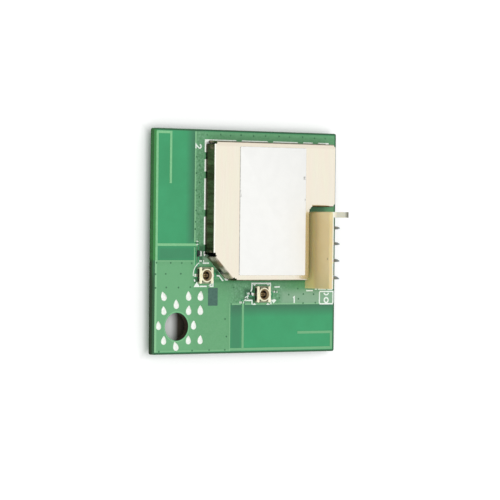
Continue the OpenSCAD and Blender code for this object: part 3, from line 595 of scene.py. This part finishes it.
def buildMetal(name, paints, tone, roughness, scale, metallic, stretch=(1, 1, 1)):
    # plated metal with cloudy colour, a painted highlight on its edges and a faint unevenness
    material, tree, shader, where = newMaterial(name, Metallic=metallic)
    colour = paints[tone]
    made = uneven(tree, where, colour, paints[f"{tone}Shade"], scale, 0.6, stretch)
    dress(tree, shader, Base_Color=tintEdges(tree, made["Colour"], colour, radius=0.05, strength=1.5),
          Roughness=mapRange(tree, made["Value"], 0, 1, roughness * 0.85, roughness * 1.2))
    bump(tree, shader, made["Value"], strength=0.3, deep=0.02)
    return material


solderMetal = buildMetal("freshSolder", metalPaints, "tin", roughness=0.36, scale=2.5, metallic=0.5)
pinMetal = buildMetal("tinnedPins", metalPaints, "pin", roughness=0.34, scale=2.0, metallic=0.4,
                      stretch=(4, 4, 0.5))


def buildSeamMetal(paints):
    # tin that is bright at its outer edge, darker up to the can, partly a duller fillet and partly painted
    # shade in the crease, and painted black at the slant's upper end as the shadow in the open corner
    material, tree, shader, where = newMaterial("seamSolder", Metallic=0.5, Roughness=0.36)
    made = uneven(tree, where, paints["tin"], paints["tinShade"], 2.5, 0.6)
    # painted shade: the raised tin against the can turns dark
    dull = mapRange(tree, partsOf(tree, where)[2], copperTop + 0.1, copperTop + 0.2)
    face = mixColor(tree, dull, made["Colour"], paints["seam"])
    x, y = canLow.x, canLow.y
    face = tint(tree, where, face, paints, [
        ((x - 1, y + 3), (x + 1, y + 4.08), 0.1, "seamPale", 1.0),
        ((x - 0.16, y + 4.08), (x + 1, y + 4.6), 0.1, "seamDark", 1.0),
        ((x - 0.24, y + 3.85), (x + 0.02, y + 4.2), 0.08, "tin", 1.0)])
    dress(tree, shader, Base_Color=face)
    bump(tree, shader, made["Value"], strength=0.3, deep=0.02)
    return material


seamMetal = buildSeamMetal(metalPaints)


def buildSocketMetal(name, paints, tone):
    # plated metal with painted shade: brown in the funnel, dark in the bore and grey-green on its low
    # parts
    material, tree, shader, where = newMaterial(name, Metallic=0.3)
    made = uneven(tree, where, paints[tone], paints[f"{tone}Shade"], 3.0, 0.5)
    # painted shade on the low parts
    low = mapRange(tree, partsOf(tree, where)[2], copperTop + 0.5, copperTop + 0.3)
    face = mixColor(tree, times(tree, low, 0.85), made["Colour"], paints["sill"])
    for socket in (leftSocket, lowerSocket):
        for radius, softness, inner, amount in ((0.9, 0.06, "funnel", 0.85), (0.62, 0.1, "bore", 0.8)):
            face = tintRing(tree, where, face, socket, 0.0, paints[inner], radius * 2, softness, amount)
        # painted highlight on the spring, at the left of each mouth
        face = tint(tree, where, face, paints, [
            ((socket.x - 0.5, socket.y - 0.8), (socket.x - 0.12, socket.y + 0.8), 0.25, "tan", 0.75)])
    dress(tree, shader, Base_Color=face, Roughness=mapRange(tree, made["Value"], 0, 1, 0.3, 0.4))
    bump(tree, shader, made["Value"], strength=0.2, deep=0.008)
    return material


shellMetal = buildSocketMetal("platedShell", metalPaints, "shell")
goldMetal = buildSocketMetal("platedContacts", metalPaints, "gold")

dropSizes = {"radius": 0.52, "point": 0.98, "height": 0.2, "around": 24, "up": 12, "ringGap": 1.1,
             "sideGap": 1.28, "vary": 0.07, "turnDeg": 14, "shift": -0.12, "lean": 0.22, "narrow": 0.55}


def addDrop(bm, center, sizes):
    # half a sphere, flattened, with one side pulled to a point
    before = set(bm.verts)
    made = bmesh.ops.create_uvsphere(bm, u_segments=sizes["around"], v_segments=sizes["up"],
                                     radius=1)["verts"]
    geom = list({g for v in made for g in (v, *v.link_edges, *v.link_faces)})
    bmesh.ops.bisect_plane(bm, geom=geom, plane_co=(0, 0, 0), plane_no=(0, 0, 1), clear_inner=True)
    made = [v for v in bm.verts if v not in before]
    rim = list({e for v in made for e in v.link_edges if e.is_boundary})
    bmesh.ops.holes_fill(bm, edges=rim)
    grow = 1 + random.uniform(-sizes["vary"], sizes["vary"])
    turn = Matrix.Rotation(math.radians(random.uniform(-sizes["turnDeg"], sizes["turnDeg"])), 3, "Z")
    stretch = sizes["point"] / sizes["radius"]
    for vert in made:
        x, y, z = vert.co
        if y > 0:
            x = x * (1 - sizes["narrow"] * y * y) - sizes["lean"] * y
            y *= stretch
        flat = turn @ Vector((x, y, 0)) * sizes["radius"] * grow
        vert.co = Vector(center) + flat + Vector((0, 0, z * sizes["height"]))


def makeDrops(sizes):
    bm = bmesh.new()
    ring = holeRadius + sizes["ringGap"]
    step = ring * math.sin(math.pi / 4)
    far = ring + sizes["sideGap"]
    turns = [k * math.pi / 4 for k in range(8)]
    spots = [(ring * math.cos(turn), ring * math.sin(turn)) for turn in turns]
    spots += [(-step, far), (step, far), (far, far), (far, step), (far, -step)]
    for x, y in spots:
        addDrop(bm, (holeAt.x + x + sizes["shift"], holeAt.y + y, copperTop), sizes)
    finishPiece("solder_drops", bm, [solderMetal], ["solder_dots"])


stripSizes = {"drawn": 0.13, "reach": 0.3, "round": 0.035}


def makeStrips(sizes):
    # the tinned strips round the can, with their edges drawn in as molten tin leaves them
    bm = nodeCopy("shield_pads")
    reach, drawn = sizes["reach"], sizes["drawn"]
    for vert in bm.verts:
        if vert.co.x < canLow.x - reach:
            vert.co.x += drawn
        if vert.co.x > canHigh.x + reach:
            vert.co.x -= drawn
        if vert.co.y > canHigh.y + reach:
            vert.co.y -= drawn
    softenEdges(bm, sizes["round"])
    finishPiece("tinned_strips", bm, [seamMetal], ["shield_pads"])


pinSizes = {"slimFrom": 4.5, "slimTo": 6.5, "slim": 0.72, "round": 0.03}


def makePins(sizes):
    # each pin draws in towards its upper end, with softened edges
    span = sizes["slimTo"] - sizes["slimFrom"]
    for i in range(1, 5):
        name = f"header_pin_{i}"
        bm = nodeCopy(name)
        top = [v for v in bm.verts if v.co.z > sizes["slimTo"]]
        middle = sum(v.co.y for v in top) / len(top)
        for vert in bm.verts:
            share = min(max((vert.co.z - sizes["slimFrom"]) / span, 0), 1)
            vert.co.y += (middle - vert.co.y) * (1 - sizes["slim"]) * share
        softenEdges(bm, sizes["round"])
        finishPiece(f"{name}_plated", bm, [pinMetal], [name])


makeDrops(dropSizes)
makeStrips(stripSizes)
makePins(pinSizes)
give(["shield_solder"], seamMetal)
give([f"header_joint_{i}" for i in range(1, 5)], solderMetal)
print("tin and solder finished")


# Shield can and label

canPaints = paintBox(
    sheet=(244, 238, 222), shade=(236, 226, 208), edge=(250, 246, 232), green=(242, 240, 218),
    pink=(246, 232, 216), wall=(160, 150, 128), wallBrown=(104, 84, 66), wallDark=(30, 28, 22),
    wallOlive=(80, 88, 56), wallGrey=(190, 180, 166), wallPink=(150, 126, 100), bend=(255, 255, 246),
    wallPale=(186, 174, 150), header=(214, 208, 178), label=(248, 248, 245), labelShade=(243, 243, 240),
    scuff=(176, 176, 170))


def slantPatches():
    # painted reflections and painted shade down the slanted wall, from its upper end to its lower end
    x, y = canLow.x, canLow.y
    return [
        ((x, y), (x + 5, y + 4.2), 0.2, "wallOlive", 0.85),
        ((x, y, 1.8), (x + 0.9, y + 4, anyHeight), 0.4, "wallGrey", 0.8),
        ((x + 1.0, y, 2.6), (x + 1.8, y + 4, anyHeight), 0.4, "wallPink", 0.8),
        ((x + 2.0, y, 2.3), (x + 2.7, y + 4, anyHeight), 0.4, "wallGrey", 1.0),
        ((x + 2.2, y, -anyHeight), (x + 3.05, y + 4, 2.2), 0.3, "wallDark", 1.0),
        ((x + 3.05, y, 1.4), (x + 3.8, y + 4, anyHeight), 0.4, "wallPale", 0.9)]


def buildCanSheet(paints):
    # tinned steel with a fine grain along Y; the walls are painted darker, brown and streaked, as painted
    # reflection of the board and painted shade
    material, tree, shader, where = newMaterial("tinnedSheet")
    grain = uneven(tree, where, paints["sheet"], paints["shade"], 5.0, 0.35, (1, 0.04, 1))
    face = uneven(tree, where, grain["Colour"], paints["pink"], 0.5, 0.6, (1, 0.15, 1))["Colour"]
    face = uneven(tree, where, face, paints["green"], 0.8, 0.5, (1, 0.2, 1))["Colour"]
    face = tint(tree, where, face, paints, [
        ((canLow.x, canHigh.y - 0.75), (canHigh.x, canHigh.y), 0.3, "shade", 0.8),
        # painted reflection of the header in the can's top
        ((headerLow.x - 1.8, headerLow.y - 0.4), (headerLow.x + 1, headerHigh.y - 0.2), 0.3,
         "header", 0.45)])
    # painted highlight along the top's rounded edges
    face = tintEdges(tree, face, paints["edge"], radius=0.06, strength=1.0)
    wall = uneven(tree, where, paints["wall"], paints["wallBrown"], 1.3, 0.9, (1, 1, 0.1))["Colour"]
    wall = uneven(tree, where, wall, paints["wallDark"], 3.0, 0.35, (1, 1, 0.2))["Colour"]
    # painted shade: the walls darken towards their foot
    foot = mapRange(tree, partsOf(tree, where)[2], canLow.z + 0.7, canLow.z)
    wall = mixColor(tree, foot, wall, paints["wallDark"])
    wall = tint(tree, where, wall, paints, slantPatches())
    side = sideMask(tree, 0.7, 0.95)
    slanted = area(tree, where, (canLow.x + 0.1, canLow.y - 1), (canLow.x + 4.2, canLow.y + 4.0), 0.2)
    # painted highlight: the bend over the left wall is painted near white
    facing = normalOf(tree)
    bend = times(tree, mapRange(tree, facing[2], 0.45, 0.6), mapRange(tree, facing[0], -0.3, -0.55))
    bend = times(tree, bend, mapRange(tree, mathNode(tree, "ABSOLUTE", facing[1]), 0.12, 0.05))
    dull = mathNode(tree, "MAXIMUM", times(tree, side, slanted), bend)
    face = mixColor(tree, bend, mixColor(tree, side, face, wall), paints["bend"])
    dress(tree, shader, Base_Color=face, Metallic=mapRange(tree, dull, 0, 1, 1.0, 0.2),
          Roughness=mapRange(tree, grain["Value"], 0, 1, 0.2, 0.25))
    bump(tree, shader, grain["Value"], strength=0.25, deep=0.006)
    return material


give(["shield_can"], buildCanSheet(canPaints))

labelSizes = {"edge": 0.03, "corner": 0.22, "cornerSteps": 6, "trimRight": 0.22}


def buildLabelFilm(paints, low, high):
    # matt film with a few scuffs at its sides and a grey rim
    material, tree, shader, where = newMaterial("labelFilm", Roughness=0.5)
    face = uneven(tree, where, paints["label"], paints["labelShade"], 0.5, 0.6)["Colour"]
    marks = [((high.x - 0.55, 10.1), (high.x - 0.1, 10.6)),
             ((high.x - 0.25, 6.7), (high.x, 7.0)), ((low.x, 7.2), (low.x + 0.25, 8.3))]
    worn = 0.0
    for markLow, markHigh in marks:
        worn = mathNode(tree, "MAXIMUM", worn, area(tree, where, markLow, markHigh, 0.2))
    spots = noiseOf(tree, where, 3.0, 5.0)
    worn = times(tree, worn, mapRange(tree, spots, 0.45, 0.62))
    inside = area(tree, where, (low.x + 0.07, low.y + 0.03), (high.x - 0.03, high.y - 0.05), 0.04)
    rim = times(tree, mathNode(tree, "SUBTRACT", 1.0, inside),
                mapRange(tree, spots, 0.35, 0.6, 0.4, 0.9))
    worn = mathNode(tree, "MAXIMUM", worn, rim)
    dress(tree, shader, Base_Color=mixColor(tree, worn, face, paints["scuff"]))
    bump(tree, shader, noiseOf(tree, where, 12.0, 4.0), strength=0.1, deep=0.01)
    return material


def makeLabel(sizes):
    low, high = nodeBox("label")
    high.x -= sizes["trimRight"]
    bm = bmesh.new()
    corners = [(low.x, low.y), (high.x, low.y), (high.x, high.y), (low.x, high.y)]
    addSlab(bm, corners, low.z, high.z)
    middle = (low.z + high.z) / 2
    upright = [e for e in bm.edges if (e.verts[0].co.z > middle) != (e.verts[1].co.z > middle)]
    bevelEdges(bm, upright, sizes["corner"], sizes["cornerSteps"])
    bevelEdges(bm, [e for e in bm.edges if all(v.co.z > middle for v in e.verts)], sizes["edge"])
    finishPiece("label_sheet", bm, [buildLabelFilm(canPaints, low, high)], ["label"])


makeLabel(labelSizes)
print("can and label finished")


# Header housing

nylonPaints = paintBox(
    nylon=(224, 206, 158), warm=(214, 190, 134), tip=(248, 244, 226), foot=(255, 236, 162),
    grey=(196, 196, 178), darkTip=(92, 92, 74), gate=(120, 110, 76))


def buildNylon(paints):
    material, tree, shader, where = newMaterial("mouldedNylon", Roughness=0.38, Subsurface_Weight=0.3,
                                                Subsurface_Scale=mm, Subsurface_Radius=(1.0, 0.7, 0.3))
    face = uneven(tree, where, paints["nylon"], paints["warm"], 0.35, 0.45)["Colour"]
    # painted shade: warmer and darker towards the housing's foot
    lower = mapRange(tree, partsOf(tree, where)[2], headerHigh.z - 1.5, headerHigh.z - 4.5)
    face = mixColor(tree, times(tree, lower, 0.6), face, paints["warm"])
    # painted light and shade: a brighter band beside the can, a lit top rim, and a free end painted greyer
    # and darker; the mould's gate left a small mark
    low, high = headerLow, headerHigh
    past = (high.x + 1, high.y + 1)
    face = tint(tree, where, face, paints, [
        ((low.x - 1, low.y - 1), (low.x + 0.3, high.y + 1, canHigh.z), 0.8, "foot", 0.85),
        ((low.x + 0.42, low.y - 1, high.z - 0.12), past, 0.15, "tip", 1.0),
        ((low.x + 1, high.y - 1.2, high.z - 1.6), past, 0.8, "grey", 0.8),
        ((high.x - 0.7, high.y - 1.2, high.z - 0.8), past, 0.6, "darkTip", 0.9),
        ((low.x - 1, -2.75, high.z - 0.85), (low.x + 0.2, -2.45, high.z - 0.6), 0.15, "gate", 0.6)])
    # painted highlight along the edges
    dress(tree, shader, Base_Color=tintEdges(tree, face, paints["tip"], radius=0.08, strength=0.8))
    bump(tree, shader, noiseOf(tree, where, 6.0, 4.0), strength=0.15, deep=0.02)
    return material


give(["header_housing"], buildNylon(nylonPaints))
print("header finished")


# Sockets and small parts

partPaints = paintBox(
    resin=(44, 40, 34), resinShade=(26, 24, 22), package=(40, 40, 42), packageShade=(26, 26, 28),
    ferrite=(70, 68, 66), ferriteShade=(44, 43, 42), ceramic=(196, 196, 176), ceramicShade=(150, 148, 122),
    dark=(38, 38, 40), darkShade=(24, 24, 26), lid=(214, 214, 208), lidShade=(176, 176, 172),
    moss=(104, 146, 116), mossShade=(84, 124, 96), floor=(128, 98, 44), floorShade=(50, 38, 16))


def buildMatt(name, paints, tone, scale=3.0, roughness=0.55):
    material, tree, shader, where = newMaterial(name, Roughness=roughness)
    made = uneven(tree, where, paints[tone], paints[f"{tone}Shade"], scale, 0.8)
    dress(tree, shader, Base_Color=made["Colour"])
    bump(tree, shader, noiseOf(tree, where, 25.0, 3.0), strength=0.2, deep=0.01)
    return material


resin = buildMatt("socketResin", partPaints, "resin")
boreResin = buildMatt("boreResin", partPaints, "floor", scale=2.0)
package = buildMatt("mouldedPackage", partPaints, "package")
ferrite = buildMatt("coilFerrite", partPaints, "ferrite")
ceramic = buildMatt("paleCeramic", partPaints, "ceramic")
mossCeramic = buildMatt("greenishCeramic", partPaints, "moss")
darkCeramic = buildMatt("darkCeramic", partPaints, "dark")
lidMetal = buildMetal("crystalLid", partPaints, "lid", roughness=0.3, scale=1.5, metallic=1.0)

socketFinishes = {"base": resin, "shell": shellMetal, "contact": goldMetal, "spring": goldMetal}
for part, finish in socketFinishes.items():
    give([f"left_socket_{part}", f"lower_socket_{part}"], finish)
give(["radio_chip", "memory_chip", "regulator", "left_front_end", "lower_front_end"], package)
give(["power_coil"], ferrite)
give(["crystal"], lidMetal)
give([f"capacitor_{i}" for i in range(1, 9)], ceramic)
give([f"resistor_{i}" for i in range(1, 5)], darkCeramic)


tailSizes = {"reach": 1.68, "long": 0.34, "wide": 0.5, "high": 0.16, "bevel": 0.06, "segments": 3}


def makeTailSolder(sizes):
    # a pillow of solder on the end of each signal tail
    bm = bmesh.new()
    for socket in (leftSocket, lowerSocket):
        for side in (-1, 1):
            x = socket.x + side * sizes["reach"]
            addBlock(bm, (x - sizes["long"] / 2, socket.y - sizes["wide"] / 2, copperTop),
                     (x + sizes["long"] / 2, socket.y + sizes["wide"] / 2, copperTop + sizes["high"]),
                     sizes["bevel"], sizes["segments"])
    finishPiece("tail_solder", bm, [solderMetal])


makeTailSolder(tailSizes)

floorSizes = {"radius": 0.59, "high": 0.03, "around": 32}


def makeSocketFloors(sizes):
    # dark resin at the foot of each bore, round the contacts
    bm = bmesh.new()
    for socket in (leftSocket, lowerSocket):
        addDisc(bm, (socket.x, socket.y, copperTop), sizes["radius"], sizes["high"], sizes["around"])
    finishPiece("socket_floors", bm, [boreResin])


makeSocketFloors(floorSizes)


# Parts that match the antennas

matchSizes = {"small": (0.62, 0.32, 0.32), "slim": (0.8, 0.34, 0.36), "bar": (0.74, 0.3, 0.32),
              "cap": 0.25, "inCap": 0.7, "shrink": 0.03, "bevel": 0.035, "fillet": 0.1,
              "filletHigh": 0.6, "filletWide": 0.9}
# kind, turn in degrees, body, end caps, how far it stands from its node
matchParts = {
    "left_match_1": ("small", 90, mossCeramic, solderMetal, (-0.13, 0)),
    # left_match_2 takes dark ceramic for its caps too, as painted shade
    "left_match_2": ("slim", 90, darkCeramic, darkCeramic, (-0.13, -0.08)),
    "left_match_3": ("bar", 90, solderMetal, solderMetal, (-0.2, 0)),
    "left_match_4": ("small", 0, mossCeramic, solderMetal, (0.05, 0)),
    "lower_match_1": ("small", 0, mossCeramic, solderMetal, (0, 0)),
    "lower_match_2": ("small", 45, mossCeramic, solderMetal, (0, 0)),
    "lower_match_3": ("slim", 0, darkCeramic, solderMetal, (0, 0)),
    "lower_match_4": ("small", 0, mossCeramic, solderMetal, (0, 0))}


def makeMatchPart(name, kind, turnDeg, body, capMetal, shift, sizes):
    # ceramic body, two wrapped end caps and a little solder up each end
    low, high = nodeBox(name)
    length, width, height = sizes[kind]
    cap, shrink, fillet = length * sizes["cap"], sizes["shrink"], sizes["fillet"]
    half, side = length / 2, width / 2
    bodyEnd, wedgeSide = half - cap * sizes["inCap"], side * sizes["filletWide"]
    bm = bmesh.new()
    addBlock(bm, (-bodyEnd, shrink - side, shrink), (bodyEnd, side - shrink, height - shrink),
             sizes["bevel"] / 2, 1)
    for end in (-1, 1):
        inner, outer = end * (half - cap), end * half
        addBlock(bm, (min(inner, outer), -side, 0), (max(inner, outer), side, height),
                 sizes["bevel"], 2, index=1)
        wedge = [(outer, 0), (outer + end * fillet, 0), (outer, height * sizes["filletHigh"])]
        face = bm.faces.new([bm.verts.new((x, -wedgeSide, z)) for x, z in wedge])
        pulled = pull(bm, [face], (0, wedgeSide * 2, 0))
        setIndex({f for v in pulled for f in v.link_faces} | {face}, 1)
    middle = (low + high) / 2
    place = Matrix.Translation((middle.x + shift[0], middle.y + shift[1], low.z)) \
        @ Matrix.Rotation(math.radians(turnDeg), 4, "Z")
    bmesh.ops.transform(bm, matrix=place, verts=bm.verts)
    finishPiece(f"{name}_detailed", bm, [body, capMetal], [name])


for partName, (kind, turnDeg, body, capMetal, shift) in matchParts.items():
    makeMatchPart(partName, kind, turnDeg, body, capMetal, shift, matchSizes)
print("sockets and small parts finished")


# Printed marks and through holes

markPaints = paintBox(
    ink=(250, 255, 250), inkShade=(222, 240, 226), patch=(60, 98, 86), patchShade=(72, 112, 98),
    hole=(44, 104, 66), holeShade=(80, 140, 96))
ink = buildMatt("printedInk", markPaints, "ink", scale=4.0, roughness=0.6)
patchInk = buildMatt("plainPatch", markPaints, "patch", scale=2.0, roughness=0.5)
viaDark = buildMatt("filledHole", markPaints, "hole", scale=5.0, roughness=0.4)

markSizes = {"thick": 0.02, "line": 0.22, "thin": 0.13, "one": 0.24, "two": 0.204,
             "boxX": (14.7, 17.45), "boxY": (-10.0, -8.0), "ring": (0.28, 0.52), "ringSteps": 20,
             "ringUp": 0.6, "bow": 0.5, "bowDown": 0.05, "twoAt": (-9.42, 15.05)}


def arcPoints(center, radius, startDeg, endDeg, steps=10):
    turns = [math.radians(startDeg + (endDeg - startDeg) * i / steps) for i in range(steps + 1)]
    return [(center[0] + radius * math.cos(a), center[1] + radius * math.sin(a)) for a in turns]


def moved(points, center):
    return [(x + center.x, y + center.y) for x, y in points]


def makeMarks(sizes):
    bm = bmesh.new()
    z0, z1 = copperTop, copperTop + sizes["thick"]
    wide, thin = sizes["line"], sizes["thin"]

    def stroke(points, width=wide):
        addStroke(bm, points, width, z0, z1)

    # round the left socket: dashes, a corner, an arrow head and a thin arc
    for points in ([(-0.25, 1.93), (0.95, 1.93)], [(-0.75, -1.74), (0.55, -1.74)],
                   [(0.95, -1.74), (1.75, -1.74), (1.75, -0.9), (1.5, -0.62)],
                   [(-1.85, -0.62), (-1.72, -0.98)], [(0.95, -1.74), (1.75, -1.05)]):
        stroke(moved(points, leftSocket))
    stroke(moved(arcPoints((0.1, 0.1), 2.15, 118, 186), leftSocket), thin)
    stroke(moved([(2.45, -0.05), (2.95, -0.1), (3.5, -0.75), (3.75, -0.85)], leftSocket))
    addSlab(bm, moved([(-1.95, -1.85), (-0.75, -1.85), (-1.35, -1.0)], leftSocket), z0, z1)
    # round the lower socket: an outline with filled corners, a dash and an arrow head
    for points in ([(1.8, 1.25), (1.8, 1.75), (-1.85, 1.75), (-1.85, 0.9), (-2.05, 0.45)],
                   [(-3.0, -0.96), (-1.8, -0.96), (-1.8, -1.6)], [(1.85, -0.75), (1.95, -1.6)],
                   [(-2.5, -0.2), (-3.1, -0.5), (-3.0, -0.96)], [(2.6, 1.15), (3.65, 1.18)]):
        stroke(moved(points, lowerSocket))
    stroke(moved([(1.8, 1.25), (1.85, -0.75)], lowerSocket), thin)
    for sx, sy in ((-1, 1), (1, 1), (-1, -1), (1, -1)):
        corner = [(sx * 1.75, sy * 1.68), (sx * 1.0, sy * 1.68), (sx * 1.3, sy * 1.38)]
        if sx * sy < 0:
            corner.reverse()
        addSlab(bm, moved(corner, lowerSocket), z0, z1)
    addSlab(bm, moved([(2.0, -0.95), (2.45, -1.5), (2.98, -0.95), (2.6, -0.78)], lowerSocket), z0, z1)
    # box with a ring and a bow in the corner, and dashes at the header's end
    (x0, x1), (y0, y1) = sizes["boxX"], sizes["boxY"]
    for points in ([(x0, y0), (x1, y0)], [(x1, y0 + wide / 2), (x1, y1 + wide / 2)],
                   [(x1 - wide / 2, y1), (x0, y1)], [(x0, y1 - wide / 2), (x0, y0 + wide / 2)],
                   [(12.0, -7.84), (13.35, -7.84)], [(13.75, -7.6), (14.15, -7.6)],
                   [(14.4, -7.6), (16.0, -7.6)], [(16.3, -7.62), (17.3, -7.62)]):
        stroke(points)
    middle = ((x0 + x1) / 2, y0 + sizes["ringUp"])
    addRing(bm, middle, *sizes["ring"], z0, z1, sizes["ringSteps"])
    stroke(arcPoints((middle[0], y1 - sizes["bowDown"]), sizes["bow"], 200, 340))
    # plain numbers for the two antennas
    two = [(-0.28, 0.24), (-0.16, 0.46), (0.12, 0.5), (0.29, 0.3), (0.22, 0.04), (-0.3, -0.48),
           (0.34, -0.48)]
    stroke([(sizes["twoAt"][0] + v, sizes["twoAt"][1] - u) for u, v in two], sizes["two"])
    stroke([(9.4, -8.98), (9.62, -8.85), (9.62, -9.85)], sizes["one"])
    finishPiece("printed_marks", bm, [ink])
    bm = bmesh.new()
    addSlab(bm, [(-7.3, -10.15), (-5.45, -10.15), (-5.45, -7.33), (-7.3, -7.33)], z0, z1)
    finishPiece("printed_patch", bm, [patchInk])


viaSizes = {"radius": 0.1, "rim": 0.16, "high": 0.025, "vary": 0.08, "around": 10}


def viaPlaces():
    # rows along the copper's edges and a few between them
    places = [(x, -3.38) for x in (-17.1, -14.4, -12.4, -10.5)]
    places += [(x, -5.08) for x in (-17.2, -15.4, -12.5)]
    places += [(x, -7.25) for x in (-17.25, -15.3, -12.9, -10.7, -2.4)]
    places += [(x, -17.2) for x in (-16.6, -13.4, -10.2, -6.9, -4.0)]
    places += [(-9.8, y) for y in (13.4, 10.8, 8.1, 4.85, 3.1, 1.95)]
    places += [(-9.18, y) for y in (11.95, 9.4, 7.05, 4.3)]
    places += [(x, 16.97) for x in (-7.7, -5.1, -3.2, -1.2, 1.3, 3.6, 6.2, 8.4, 11.0, 13.3, 15.6)]
    places += [(11.5, -8.4), (13.5, -8.4), (11.5, -9.85), (13.9, -9.82), (8.45, -8.5), (6.65, -9.05),
               (10.3, -7.45), (10.4, -9.2), (-5.15, -6.15), (-2.8, -9.9), (-3.9, -12.3), (-3.6, -15.0),
               (17.1, 4.8), (17.1, 0.3), (17.1, -4.2), (17.1, 9.4), (17.1, 13.6)]
    return places


def makeVias(sizes):
    bm = bmesh.new()
    for x, y in viaPlaces():
        x += random.uniform(-sizes["vary"], sizes["vary"])
        y += random.uniform(-sizes["vary"], sizes["vary"])
        addDisc(bm, (x, y, copperTop), sizes["rim"], sizes["high"], sizes["around"], sizes["radius"])
    finishPiece("filled_holes", bm, [viaDark])


makeMarks(markSizes)
makeVias(viaSizes)
print("marks and filled holes finished")


# Floor and light

stageSizes = {"floorHalf": 1500, "pale": 0.9, "cloud": 0.88, "under": 0.78, "lift": 0.22,
              "sunStrength": 1.35, "sunDeg": 60, "sunTilt": (6, -22, 0), "ambient": 0.6}


def makeStage(sizes):
    bm = bmesh.new()
    bmesh.ops.create_grid(bm, x_segments=1, y_segments=1, size=sizes["floorHalf"] * mm)
    bmesh.ops.translate(bm, vec=(0, 0, cadBox[0][2]), verts=bm.verts)
    material, tree, shader, where = newMaterial("paleFloor", Roughness=0.9, Specular_IOR_Level=0.1)
    floor = newObject("floor", newMesh("floor", bm, [material]))
    pale, cloud, under = ((sizes[key],) * 3 + (1,) for key in ("pale", "cloud", "under"))
    face = uneven(tree, where, pale, cloud, 0.01, 1.0)["Colour"]
    # painted shade: below the board the floor is darker and has no lift, and a painted shadow lies where
    # the hole looks onto it
    below = area(tree, where, boardLow.xy, boardHigh.xy, 2.0)
    face = tint(tree, where, mixColor(tree, below, face, under), boardPaints, [
        ((holeAt.x + 1.3, holeAt.y - 4), (holeAt.x + 5.5, holeAt.y + 4), 1.4, "holeWall", 0.97)])
    seen = addNode(tree, "ShaderNodeLightPath").outputs["Is Camera Ray"]
    dress(tree, shader, Base_Color=face, Emission_Strength=times(tree, seen, sizes["lift"]),
          Emission_Color=mixColor(tree, below, (1, 1, 1, 1), (0, 0, 0, 1)))
    # the floor is clear from below, so that the board's back can be looked at
    behind = addNode(tree, "ShaderNodeNewGeometry").outputs["Backfacing"]
    dress(tree, shader, Alpha=mathNode(tree, "SUBTRACT", 1.0, behind))


def makeLight(sizes):
    data = bpy.data.lights.new("softOverhead", "SUN")
    data.energy = sizes["sunStrength"]
    data.angle = math.radians(sizes["sunDeg"])
    lamp = newObject("softOverhead", data)
    lamp.rotation_euler = [math.radians(a) for a in sizes["sunTilt"]]
    lamp.visible_glossy = False  # bare metal mirrors the pale studio, not the lamp
    world = bpy.data.worlds.new("studio")
    world.use_nodes = True
    tree = world.node_tree
    seen = addNode(tree, "ShaderNodeLightPath").outputs
    direct = mathNode(tree, "MAXIMUM", seen["Is Camera Ray"], seen["Is Glossy Ray"])
    direct = mathNode(tree, "MAXIMUM", direct, seen["Is Transmission Ray"])
    strength = mapRange(tree, direct, 0, 1, sizes["ambient"], 1.0, smooth=False)
    dress(tree, tree.nodes["Background"], Color=(1, 1, 1, 1), Strength=strength)
    bpy.context.scene.world = world
    bpy.context.scene.view_settings.view_transform = "Standard"


makeStage(stageSizes)
makeLight(stageSizes)
print("floor and light placed")
